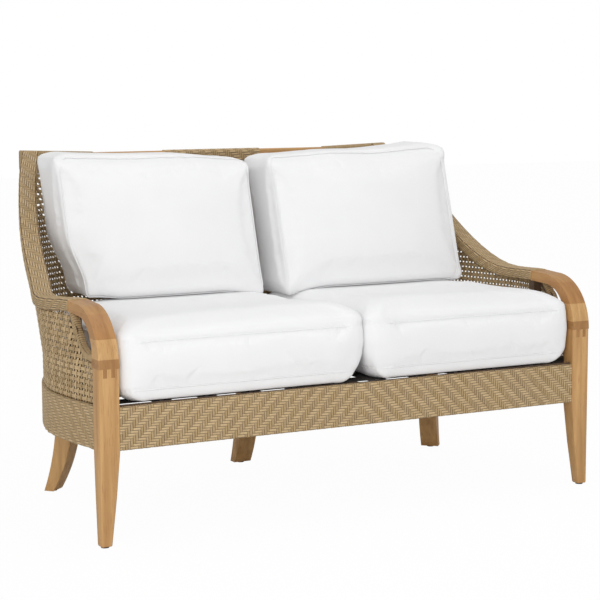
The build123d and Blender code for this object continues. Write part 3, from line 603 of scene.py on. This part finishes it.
def wall_outline(tree, height, count=2600):
    """Angles and running lengths along a wall at one height."""
    angles, points = [], []
    for angle in np.linspace(first_angle, last_angle, count):
        found = wall_point(tree, angle, height)
        if found:
            angles.append(angle)
            points.append(found[0])
    steps = [(later - earlier).length for earlier, later in zip(points, points[1:])]
    return np.array(angles), np.concatenate([[0.0], np.cumsum(steps)])


# %% Bands
band_nodes = ["side_band_right", "side_band_left", "back_band"]
band_tree = search_tree(nodes[name].data for name in band_nodes)
band_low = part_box("back_band")[0][2]
band_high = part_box("back_band")[1][2]
band_angles, band_lengths = wall_outline(band_tree, (band_low + band_high) / 2)
band_columns = 2 * round(band_lengths[-1] / strand_pitch / 2)
band_rows = round((band_high - band_low) / strand_pitch)


def place_on_band(columns, rows):
    """Points round the outside of the bands and their outward directions."""
    lengths = band_lengths[-1] * columns / band_columns
    angles = np.interp(lengths, band_lengths, band_angles)
    plan, away = [], []
    for angle in angles:
        point, normal = wall_point(band_tree, angle, (band_low + band_high) / 2) or (None, None)
        plan.append(plan[-1] if point is None else (point.x, point.y))
        away.append(away[-1] if point is None else (normal.x, normal.y))
    plan, away = np.array(plan)[:, None], np.array(away)[:, None]
    share, behind, upward, face = fold(rows, band_rows)
    points = np.zeros((len(columns), len(rows), 3))
    outward = np.zeros_like(points)
    points[..., :2] = plan - away * (behind[None, :, None] + face_set_back)
    points[..., 2] = band_low + edge_set_in + (band_high - band_low - 2 * edge_set_in) * share
    outward[..., :2] = away * face[None, :, None]
    outward[..., 2] = upward
    return points, outward


band_over = mirrored_twill(band_columns, band_rows + 2 * fold_rows)
bands = weave("band_strands", place_on_band, band_over, first_row=-fold_rows)
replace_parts(bands, *band_nodes)

# %% [markdown]
# The open panels are woven from upright stakes and pairs of level weavers, which pass in front of one
# stake and behind the next. Each strand is a closed ribbon with a rounded section, and all of them
# follow the middle of the panel's wall, so that the holes between them are real holes.

# %% Ribbons
stake_section = (
    (-0.0041, 0.0), (-0.0026, 0.9), (0.0026, 0.9), (0.0041, 0.0), (0.0026, -0.9), (-0.0026, -0.9)
)
weaver_section = (
    (-0.0050, 0.0), (-0.0028, 0.95), (0.0, 0.35), (0.0028, 0.95),
    (0.0050, 0.0), (0.0028, -0.95), (0.0, -0.35), (-0.0028, -0.95),
)
ribbon_thickness = 0.0012
stake_pitch = 0.0118
weaver_pitch = 0.0140
wall_middle = 0.003


def tube_faces(steps, rings, sides, start=0):
    """Faces between each ring of points and the next, for a number of steps."""
    faces = []
    for step in range(steps):
        near, far = start + step * sides, start + (step + 1) % rings * sides
        for side in range(sides):
            beside = (side + 1) % sides
            faces.append((near + side, near + beside, far + beside, far + side))
    return faces


class Ribbons:
    """Collects ribbons of one section along trails, and makes one mesh of them."""

    def __init__(self, section):
        self.section, self.trail = section, []
        self.points, self.faces, self.lifts, self.tints = [], [], [], []

    def pass_by(self, found, height):
        """Carries the ribbon on to a point of the wall, at a height over it."""
        self.trail.append((*found, height))

    def end(self):
        """Ends the ribbon, and keeps it unless it is too short."""
        trail, self.trail = self.trail, []
        if len(trail) < 3:
            return
        path, outward, heights = (np.array(part) for part in zip(*trail))
        across = np.cross(np.gradient(path, axis=0), outward)
        across /= np.linalg.norm(across, axis=1)[:, None] + 1e-9
        start, width = len(self.points), len(self.section)
        shade = random.random()
        for point, side, away, height in zip(path, across, outward, heights):
            for reach, bulge in self.section:
                rise = height - wall_middle + bulge * ribbon_thickness
                self.points.append(point + side * reach + away * rise)
                # A ribbon's lift only sets its colour: the edges of its section get painted shade.
                self.lifts.append(0.3 + 0.7 * abs(bulge))
                self.tints.append(shade)
        self.faces += tube_faces(len(path) - 1, len(path), width, start)
        last = start + (len(path) - 1) * width
        self.faces.append(tuple(range(start, start + width))[::-1])
        self.faces.append(tuple(range(last, last + width)))

    def finish(self, name):
        """Makes the piece."""
        points = [tuple(point) for point in self.points]
        mesh = strand_mesh(name, points, self.faces, self.lifts, self.tints)
        mesh.shade_smooth()
        print(name, len(self.faces), "faces")
        return add_piece(name, mesh, strands)


# %% Open panels
cane_nodes = ["side_cane_right", "side_cane_left", "back_cane"]
cane_tree = search_tree(nodes[name].data for name in cane_nodes)
cane_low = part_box("back_cane")[0][2] + 0.001
cane_high = max(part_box(name)[1][2] for name in ("back_cane", "side_cane_left"))
cane_angles, cane_lengths = wall_outline(cane_tree, cane_low + 0.002)
stake_count = round(cane_lengths[-1] / stake_pitch)
stake_lengths = (np.arange(stake_count) + 0.5) * cane_lengths[-1] / stake_count
stake_angles = np.interp(stake_lengths, cane_lengths, cane_angles)
row_count = int((cane_high - cane_low) / weaver_pitch)
row_heights = cane_low + weaver_pitch * (np.arange(row_count) + 0.5)
under_lift, over_lift = -0.0014, 0.0014


def top_of_wall(angle, low, high):
    """Height at which a wall ends between a hit and a miss."""
    for _ in range(7):
        middle = (low + high) / 2
        if wall_point(cane_tree, angle, middle):
            low = middle
        else:
            high = middle
    return low


stakes = Ribbons(stake_section)
for stake, angle in enumerate(stake_angles):
    height, step = cane_low, 0
    while height < cane_high + weaver_pitch:
        found = wall_point(cane_tree, angle, height)
        if not found:
            if stakes.trail:
                top = top_of_wall(angle, height - weaver_pitch / 2, height)
                stakes.pass_by(wall_point(cane_tree, angle, top), 0.0)
            break
        on_top = (stake + (step - 1) // 2) % 2 == 0
        stakes.pass_by(found, 0.0 if step % 2 == 0 else over_lift if on_top else under_lift)
        height += weaver_pitch / 2
        step += 1
    stakes.end()
stake_piece = stakes.finish("cane_stakes")
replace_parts(stake_piece, *cane_nodes)

# %% Weavers of the open panels
weavers = Ribbons(weaver_section)
between = (stake_angles[:-1] + stake_angles[1:]) / 2
for row, height in enumerate(row_heights):
    for stake, angle in enumerate(stake_angles):
        crossing_height = over_lift if (stake + row) % 2 == 1 else under_lift
        halfway = between[min(stake, len(between) - 1)]
        for turn, above_wall in ((angle, crossing_height), (halfway, 0.0)):
            found = wall_point(cane_tree, turn, height)
            if found:
                weavers.pass_by(found, above_wall)
            else:
                weavers.end()
    weavers.end()
weavers.finish("cane_weavers")

# %% [markdown]
# The swept rails and parts of the top rail are wrapped: strands run along and round the rail. The
# skin is a woven sheet closed round the rail's section, whose size is read from the CAD rail.


# %% Wraps round the rails
def rounded_loop(count, half_a, half_b, radius):
    """Rounded rectangle as shares of its straight half sides, with outward directions."""
    runs = []
    for quarter, (end_a, end_b) in enumerate(((1, 1), (-1, 1), (-1, -1), (1, -1))):
        turn = math.pi / 2 * quarter
        next_a, next_b = ((-1, 1), (-1, -1), (1, -1), (1, 1))[quarter]
        straight = 2 * ((half_a if end_b == next_b else half_b) - radius)
        runs.append((math.pi / 2 * radius, (end_a, end_b), (end_a, end_b), turn, turn + math.pi / 2))
        runs.append((straight, (end_a, end_b), (next_a, next_b), turn + math.pi / 2, None))
    total = sum(run[0] for run in runs)
    rows = []
    for place in np.linspace(0, total, count, endpoint=False):
        for length, start, end, turn, last in runs:
            if place <= length:
                share = place / length
                angle = turn if last is None else turn + (last - turn) * share
                spot = [start[axis] + (end[axis] - start[axis]) * share for axis in (0, 1)]
                rows.append((*spot, math.cos(angle), math.sin(angle)))
                break
            place -= length
    rows.append(rows[0])
    return np.array(rows).T, total


corner_rounding = 0.007


def rail_stations(node, axis, tolerance=0.0004):
    """Sorted stations of a lofted node along an axis, with the box of each in the other axes."""
    points = np.array([vertex.co[:] for vertex in nodes[node].data.vertices])
    order = np.argsort(points[:, axis])
    points = points[order]
    breaks = np.where(np.diff(points[:, axis]) > tolerance)[0] + 1
    others = [index for index in range(3) if index != axis]
    stations = []
    for group in np.split(points, breaks):
        low, high = group[:, others].min(axis=0), group[:, others].max(axis=0)
        if (high - low).min() > 0.015:
            stations.append((group[:, axis].mean(), *low, *high))
    return np.array(stations)


def wrap_rail(name, centres, halves, sides, ups, pattern, replaced):
    """A woven skin round a run of sections, each with its centre, half sizes and directions."""
    half_a, half_b = halves[len(halves) // 2]
    radius = min(corner_rounding, half_a * 0.9, half_b * 0.9)
    _, around = rounded_loop(12, half_a, half_b, radius)
    rows = 6 * max(1, round(around / strand_pitch / 6))
    runs = np.linalg.norm(np.diff(centres, axis=0), axis=1)
    reached = np.concatenate([[0.0], np.cumsum(runs)])
    columns = round(reached[-1] / strand_pitch)
    loop, _ = rounded_loop(rows * len(cell_shares), half_a, half_b, radius)

    def spread(values, places):
        """Values of the sections at places along the run."""
        return np.stack([np.interp(places, reached, values[:, index])
                         for index in range(values.shape[1])], axis=-1)

    def place(column_places, row_places):
        """Points round the run at each column."""
        places = reached[-1] * column_places / columns
        middle, half = spread(centres, places)[:, None], spread(halves, places)[:, None] - radius
        side, up = spread(sides, places)[:, None], spread(ups, places)[:, None]
        outward = side * loop[2][None, :, None] + up * loop[3][None, :, None]
        points = middle + side * (loop[0] * half[..., 0])[..., None]
        points = points + up * (loop[1] * half[..., 1])[..., None] + outward * radius
        return points, outward

    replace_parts(weave(name, place, pattern(columns, rows), closed=True), replaced)


wrap_depth = 0.0025
skin_grow = wrap_depth - strand_rise
x_axis, y_axis, z_axis = np.eye(3)
wing_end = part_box("back_top_rail")[0][1] - 0.003
for side in ("left", "right"):
    stations = rail_stations(f"wing_rail_{side}", 1)
    ends = np.append(stations[stations[:, 0] < wing_end, 0], wing_end)
    sizes = [np.interp(ends, stations[:, 0], stations[:, index]) for index in range(1, 5)]
    centres = np.stack([(sizes[0] + sizes[2]) / 2, ends, (sizes[1] + sizes[3]) / 2], axis=-1)
    halves = np.stack([(sizes[2] - sizes[0]) / 2, (sizes[3] - sizes[1]) / 2], axis=-1) + skin_grow
    ones = np.ones((len(ends), 1))
    wrap_rail(f"wing_strands_{side}", centres, halves, ones * x_axis, ones * z_axis, twill,
              f"wing_wrap_{side}")
middle_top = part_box("top_wrap_middle")[1][2]
for name, pattern in (("top_wrap_left", wound), ("top_wrap_right", wound), ("top_wrap_middle", twill)):
    low, high = (np.array(corner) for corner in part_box(name))
    tops = np.array([middle_top, high[2]])
    if name == "top_wrap_left":
        tops = tops[::-1]
    centres = np.array([
        (end, (low[1] + high[1]) / 2, (low[2] + top) / 2) for end, top in zip((low[0], high[0]), tops)
    ])
    halves = np.array([((high[1] - low[1]) / 2, (top - low[2]) / 2) for top in tops]) - strand_rise
    ones = np.ones((2, 1))
    wrap_rail(f"{name}_strands", centres, halves, ones * y_axis, ones * z_axis, pattern, name)

# %% [markdown]
# The front edge of each side panel is rolled round a core and bends up to the end of the arm bow,
# which leaves the crescent opening. Its path repeats the share table of the CAD part.

# %% Rolled edges
crescent_key_shares = np.array([
    (0.000, 0.000), (0.290, 0.040), (0.500, 0.200), (0.640, 0.440), (0.780, 0.720), (0.930, 1.000)
])


def even_curve(keys, count):
    """Smooth curve through key points, by cubic pieces between them."""
    padded = np.concatenate([2 * keys[:1] - keys[1:2], keys, 2 * keys[-1:] - keys[-2:-1]])
    curve = []
    for place in np.linspace(0, len(keys) - 1, count):
        first = min(int(place), len(keys) - 2)
        share = place - first
        before, start, end, after = padded[first : first + 4]
        curve.append(0.5 * (
            2 * start + (end - before) * share
            + (2 * before - 5 * start + 4 * end - after) * share**2
            + (3 * start - before - 3 * end + after) * share**3
        ))
    return np.array(curve)


leg_rear_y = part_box("front_leg_left")[1][1]
bow_end_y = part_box("arm_bow_left")[1][1]
edge_foot = 0.449
edge_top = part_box("arm_bow_left")[1][2] - 0.0287
for side in ("left", "right"):
    low, high = (np.array(corner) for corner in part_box(f"side_edge_wrap_{side}"))
    curve = even_curve(crescent_key_shares, 40)
    centres = np.stack([
        np.full(len(curve), (low[0] + high[0]) / 2),
        leg_rear_y + 0.0002 + (bow_end_y - leg_rear_y) * curve[:, 0],
        edge_foot + (edge_top - edge_foot) * curve[:, 1],
    ], axis=-1)
    heading = np.gradient(centres, axis=0)
    heading /= np.linalg.norm(heading, axis=1)[:, None]
    sides = np.tile(x_axis, (len(curve), 1))
    ups = np.cross(sides, heading)
    halves = np.full((len(curve), 2), (high[0] - low[0]) / 2 - strand_rise)
    wrap_rail(f"edge_strands_{side}", centres, halves, sides, ups, wound, f"side_edge_wrap_{side}")

# %% [markdown]
# A cushion is the part people look at first. A copy of the CAD cover's outer skin is remeshed evenly,
# gets the corners and slopes of a used cushion, is inflated a little as cloth so that it puffs between
# its seams, and is then sewn: each seam pulls the cover in along a line and carries a thin cord.

# %% Cushion shells
cushion_voxel = 0.006
puff_limit = 0.006
cloth_frames = 20


def outer_shell(node):
    """The outer skin of a hollow CAD cover, as a new mesh."""
    shape = cad_copy(node)
    queue = [max(shape.verts, key=lambda vertex: vertex.co.x)]
    kept = set(queue)
    while queue:
        current = queue.pop()
        for edge in current.link_edges:
            other = edge.other_vert(current)
            if other not in kept:
                kept.add(other)
                queue.append(other)
    inner = [vertex for vertex in shape.verts if vertex not in kept]
    bmesh.ops.delete(shape, geom=inner, context="VERTS")
    return to_mesh(shape, node)


def apply_modifiers(piece):
    """Replaces a piece's mesh with what its modifiers make of it."""
    graph = bpy.context.evaluated_depsgraph_get()
    mesh = bpy.data.meshes.new_from_object(piece.evaluated_get(graph))
    piece.modifiers.clear()
    piece.data = mesh


def mesh_values(mesh, name="co"):
    """The points of a mesh, or their normals, as an array."""
    values = np.empty(len(mesh.vertices) * 3)
    mesh.vertices.foreach_get(name, values)
    return values.reshape(-1, 3)


cloth_settings = {
    "quality": 4, "mass": 0.3, "tension_stiffness": 20, "compression_stiffness": 20,
    "shear_stiffness": 8, "bending_stiffness": 0.6, "use_pressure": True,
    "uniform_pressure_force": 4,
}


def puff_up(piece):
    """Inflates a cushion as cloth, and limits how far any point may move."""
    rest = mesh_values(piece.data)
    cloth = piece.modifiers.new("cloth", "CLOTH")
    for name, value in cloth_settings.items():
        setattr(cloth.settings, name, value)
    cloth.settings.effector_weights.gravity = 0
    cloth.collision_settings.use_collision = False
    cloth.point_cache.frame_end = cloth_frames
    for number in range(1, cloth_frames + 1):
        bpy.context.scene.frame_set(number)
    apply_modifiers(piece)
    bpy.context.scene.frame_set(1)
    moved = mesh_values(piece.data) - rest
    distance = np.linalg.norm(moved, axis=1, keepdims=True)
    moved *= puff_limit * np.tanh(distance / puff_limit) / np.maximum(distance, 1e-9)
    bottom = rest[:, 2] < rest[:, 2].min() + 0.02
    moved[bottom, 2] = np.maximum(moved[bottom, 2], 0.0)
    under_back = (rest[:, 1] > -0.08) & (rest[:, 2] < 0.56) & (rest[:, 2] > 0.5)
    moved[under_back, 2] = np.minimum(moved[under_back, 2], 0.0)
    piece.data.vertices.foreach_set("co", (rest + moved).ravel())


print("cushion helpers ready")


# %% [markdown]
# The seams of a seat cushion run level round its boxing. Those of a back cushion run round its front
# and rear panels, which lean with it.


# %% Seam paths
def level_seam(tree, middle, height, count=240):
    """Closed path where level rays meet the cushion at one height."""
    path = []
    for turn in np.linspace(0, 2 * math.pi, count, endpoint=False):
        away = Vector((math.cos(turn), math.sin(turn), 0))
        centre = Vector((middle.x, middle.y, height))
        point, _, _, _ = tree.ray_cast(centre + away, -away, 1.0)
        if point is not None:
            path.append(point)
    return path


def panel_seam(tree, low, high, edge_depth, inset=0.006, rounding=0.022, count=60):
    """Closed path round the front or rear panel of a leaning cushion, along its sharp edge."""
    path = []
    width, height = high.x - low.x, high.z - low.z
    loop, _ = rounded_loop(4 * count, width / 2 - inset, height / 2 - inset, rounding)
    for share_x, share_z, turn_x, turn_z in loop.T[:-1]:
        x = (low.x + high.x) / 2 + share_x * (width / 2 - inset - rounding) + turn_x * rounding
        z = (low.z + high.z) / 2 + share_z * (height / 2 - inset - rounding) + turn_z * rounding
        depth = edge_depth((z - low.z) / height, x)
        point, _, _, _ = tree.find_nearest(Vector((x + turn_x * inset, depth, z + turn_z * inset)))
        path.append(point)
    return path


def smooth_path(path, rounds=3):
    """Evens out a closed path."""
    points = np.array([tuple(point) for point in path])
    for _ in range(rounds):
        points = (np.roll(points, 1, axis=0) + 2 * points + np.roll(points, -1, axis=0)) / 4
    return points


def seam_cord(points, radius=0.0015, sides=8):
    """Points and faces of a thin closed tube along a path."""
    heading = np.roll(points, -1, axis=0) - np.roll(points, 1, axis=0)
    heading /= np.linalg.norm(heading, axis=1)[:, None]
    aside = np.cross(heading, np.array([0.3, 0.5, 0.81]))
    aside /= np.linalg.norm(aside, axis=1)[:, None]
    above = np.cross(heading, aside)
    turns = np.linspace(0, 2 * math.pi, sides, endpoint=False)
    rings = points[:, None] + radius * (
        np.cos(turns)[None, :, None] * aside[:, None] + np.sin(turns)[None, :, None] * above[:, None]
    )
    return rings.reshape(-1, 3), tube_faces(len(points), len(points), sides)


def sew(piece, seams, depth=0.0022, reach=0.0070, block=4000):
    """Pulls the cover in along its seams, and adds the seam cords to its mesh."""
    mesh = piece.data
    points = mesh_values(mesh)
    line = np.concatenate(seams)
    near = np.concatenate([
        np.linalg.norm(points[start : start + block, None] - line[None], axis=2).min(axis=1)
        for start in range(0, len(points), block)
    ])
    pull = depth * np.exp(-((near / reach) ** 2))
    mesh.vertices.foreach_set("co", (points - mesh_values(mesh, "normal") * pull[:, None]).ravel())
    shape = bmesh.new()
    shape.from_mesh(mesh)
    for seam in seams:
        cord_points, faces = seam_cord(seam)
        added = [shape.verts.new(point) for point in cord_points]
        for face in faces:
            shape.faces.new([added[index] for index in face]).smooth = True
    to_mesh(shape, mesh.name, mesh)
    mesh.shade_smooth()


# %% Four cushions
cushion_lean = math.tan(math.radians(16.5))
seat_seam_shares = (0.167, 0.790)
back_depth = 0.186
edge_reach = 0.034
back_crowns = (0.042, 0.012)


def back_edge(low, high, near_y, facing):
    """Depth of a back cushion's front or rear edge at a share of its height and a place across."""
    half = (high.x - low.x) / 2

    def depth(share, x):
        """Depth of the panel there."""
        full = 1 - abs(2 * share - 1) ** 3
        crown = back_crowns[1] + (back_crowns[0] - back_crowns[1]) * full
        across = min(1.0, abs(x - (low.x + high.x) / 2) / half)
        inward = edge_reach * max(0.0, abs(2 * share - 1) - 0.9) / 0.1
        base = near_y + (high.z - low.z) * share * cushion_lean
        base += 0.0 if facing < 0 else back_depth
        return base - facing * inward + facing * crown * (1 - across**2)

    return depth


def ease(values, low, high):
    """Smooth step from 0 at low to 1 at high."""
    share = np.clip((values - low) / (high - low), 0.0, 1.0)
    return share * share * (3 - 2 * share)


corner_push = 0.007
corner_power = 8


def settle_back(points, low, high, near_y, outer):
    """Used back cushion: pointed corners, fuller outer side, and a top that sags inward."""
    across = (points[:, 0] - (low.x + high.x) / 2) / ((high.x - low.x) / 2)
    share = (points[:, 2] - low.z) / (high.z - low.z)
    lean = near_y + (points[:, 2] - low.z) * cushion_lean
    depth = np.clip((points[:, 1] - lean) / back_depth, 0.0, 1.0)
    level = 2 * share - 1
    corner = np.minimum(1.0, np.abs(across * level) / 0.94) ** corner_power
    outward = across * outer
    side_bulge, outer_rise, inner_sag = (0.024, 0.015, 0.012) if outer > 0 else (0.010, 0.006, 0.018)
    rise = corner_push * corner * np.sign(level)
    rise += outer_rise * ease(share, 0.45, 1.0) * ease(outward, 0.1, 1.0)
    rise -= inner_sag * ease(share, 0.45, 1.0) * ease(-outward, 0.2, 1.0)
    rise -= 0.014 * ease(-share, -0.25, 0.0) * ease(-outward, 0.5, 1.0)
    low_corner = ease(outward, 0.45, 1.0) * ease(-share, -0.5, 0.0)
    moved = points.copy()
    moved[:, 0] += corner_push * corner * np.sign(across)
    moved[:, 0] += outer * side_bulge * (1 - depth) * ease(outward, 0.1, 1.0)
    if outer < 0:
        moved[:, 0] += 0.045 * low_corner
        rise += 0.012 * low_corner
    moved[:, 1] += rise * cushion_lean
    moved[:, 2] += rise
    return moved


seat_shift = 0.020


def settle_seat(points, low, high, side):
    """Used seat cushion: pointed front corners, and seams that rise towards the inner corners."""
    across = (points[:, 0] - (low.x + high.x) / 2) / ((high.x - low.x) / 2)
    front = 1 - 2 * (points[:, 1] - low.y) / (high.y - low.y)
    share = (points[:, 2] - low.z) / (high.z - low.z)
    corner = np.minimum(1.0, np.abs(across) * np.maximum(front, 0) / 0.9) ** corner_power
    inner = across if side == "left" else -across
    first_seam = seat_seam_shares[0]
    below = 1 - ease(share, first_seam, 0.5)
    rise = (0.004 + 0.010 * ease(inner, -1.0, 1.0)) * ease(front, 0.1, 0.8) * ease(share, 0.0, 0.15)
    rise += 0.022 * below * ease(share, 0.0, 0.15) * ease(inner, 0.55, 1.0) * ease(front, 0.2, 0.9)
    rest = ease(points[:, 1] - low.y, 0.003, 0.014) * ease(-np.abs(across), -0.95, -0.80)
    rest *= (share < first_seam) * ease(front, 0.0, 0.5)
    moved = points.copy()
    moved[:, 2] -= (moved[:, 2] - low.z) * rest
    rise *= 1 - rest
    moved[:, 0] += 0.8 * corner_push * corner * np.sign(across)
    moved[:, 0] += seat_shift * ease(inner, 0.3, 1.0)
    moved[:, 1] -= 0.5 * corner_push * corner
    moved[:, 2] += rise
    return moved


near_faces = {"left": 0.034, "right": 0.0}


def make_cushion(kind, side):
    """One cushion: shell, puff, seams."""
    node = f"{kind}_cushion_cover_{side}"
    low, high = (Vector(corner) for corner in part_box(node))
    near_y = near_faces[side]
    piece = add_piece(f"{kind}_cushion_{side}", outer_shell(node), canvas,
                      f"{kind}_cushion_{side}")
    remesh = piece.modifiers.new("remesh", "REMESH")
    remesh.mode = "VOXEL"
    remesh.voxel_size = cushion_voxel
    apply_modifiers(piece)
    points = mesh_values(piece.data)
    if kind == "seat":
        points = settle_seat(points, low, high, side)
    else:
        points = settle_back(points, low, high, near_y, 1 if side == "right" else -1)
    piece.data.vertices.foreach_set("co", points.ravel())
    piece.data.update()
    puff_up(piece)
    divide = piece.modifiers.new("divide", "SUBSURF")
    divide.levels = 1
    apply_modifiers(piece)
    tree = search_tree([piece.data])
    if kind == "seat":
        seams = [
            level_seam(tree, (low + high) / 2, low.z + (high.z - low.z) * share)
            for share in seat_seam_shares
        ]
    else:
        seams = [
            panel_seam(tree, low, high, back_edge(low, high, near_y, facing))
            for facing in (-1, 1)
        ]
    sew(piece, [smooth_path(seam) for seam in seams])
    piece.data.materials.clear()
    piece.data.materials.append(canvas)
    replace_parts(piece, node, f"{kind}_cushion_core_{side}")
    print(piece.name, len(piece.data.vertices), "points")


for kind in ("seat", "back"):
    for side in ("left", "right"):
        make_cushion(kind, side)

# %% [markdown]
# A studio floor and soft light. Camera rays see a nearly white floor, while the floor still takes the
# seat's shadow; the world behind is plain white.

# %% Floor
half_floor = 15.0
floor_mesh = bpy.data.meshes.new("floor")
floor_corners = [(across * half_floor, along * half_floor, 0)
                 for across, along in ((-1, -1), (1, -1), (1, 1), (-1, 1))]
floor_mesh.from_pydata(floor_corners, [], [(0, 1, 2, 3)])
floor = bpy.data.objects.new("floor", floor_mesh)
bpy.context.collection.objects.link(floor)
floor_material, floor_tree, floor_shader = start_material("floor", 0.9)
floor_shader.inputs["Base Color"].default_value = (0.9, 0.9, 0.9, 1)
floor_glow = add_node(floor_tree, "Emission", {"Color": (1, 1, 1, 1)})
floor_rays = add_node(floor_tree, "LightPath")
floor_seen = add_node(floor_tree, "Math", {1: 0.97}, operation="MULTIPLY")
floor_blend = add_node(floor_tree, "MixShader")
connect(
    floor_tree, (floor_rays, "Is Camera Ray", floor_seen, 0), (floor_seen, "Value", floor_blend, "Fac"),
    (floor_shader, "BSDF", floor_blend, 1), (floor_glow, "Emission", floor_blend, 2),
    (floor_blend, "Shader", floor_tree.nodes["Material Output"], "Surface"),
)
floor_mesh.materials.append(floor_material)

# %% World and lamps
world = bpy.data.worlds.new("studio")
bpy.context.scene.world = world
world.use_nodes = True
world_tree = world.node_tree
world_light = world_tree.nodes["Background"]
world_light.inputs["Color"].default_value = (1, 1, 1, 1)
world_light.inputs["Strength"].default_value = 0.60
world_seen = add_node(world_tree, "Background", {"Color": (1, 1, 1, 1)})
world_rays = add_node(world_tree, "LightPath")
world_blend = add_node(world_tree, "MixShader")
connect(
    world_tree, (world_rays, "Is Camera Ray", world_blend, "Fac"),
    (world_light, "Background", world_blend, 1), (world_seen, "Background", world_blend, 2),
    (world_blend, "Shader", world_tree.nodes["World Output"], "Surface"),
)


def add_lamp(name, place, target, size, power):
    """A square soft lamp aimed at a point."""
    data = bpy.data.lights.new(name, "AREA")
    data.size = size
    data.energy = power
    lamp = bpy.data.objects.new(name, data)
    bpy.context.collection.objects.link(lamp)
    lamp.location = place
    heading = Vector(target) - Vector(place)
    lamp.rotation_euler = heading.to_track_quat("-Z", "Y").to_euler()


seat_middle = (0.0, 0.0, 0.45)
add_lamp("key", (-2.9, -3.8, 1.7), seat_middle, 2.2, 66)
add_lamp("front", (0.8, -4.4, 1.8), seat_middle, 2.2, 20)
add_lamp("overhead", (0.2, -0.4, 3.4), seat_middle, 2.6, 24)
print("studio ready")
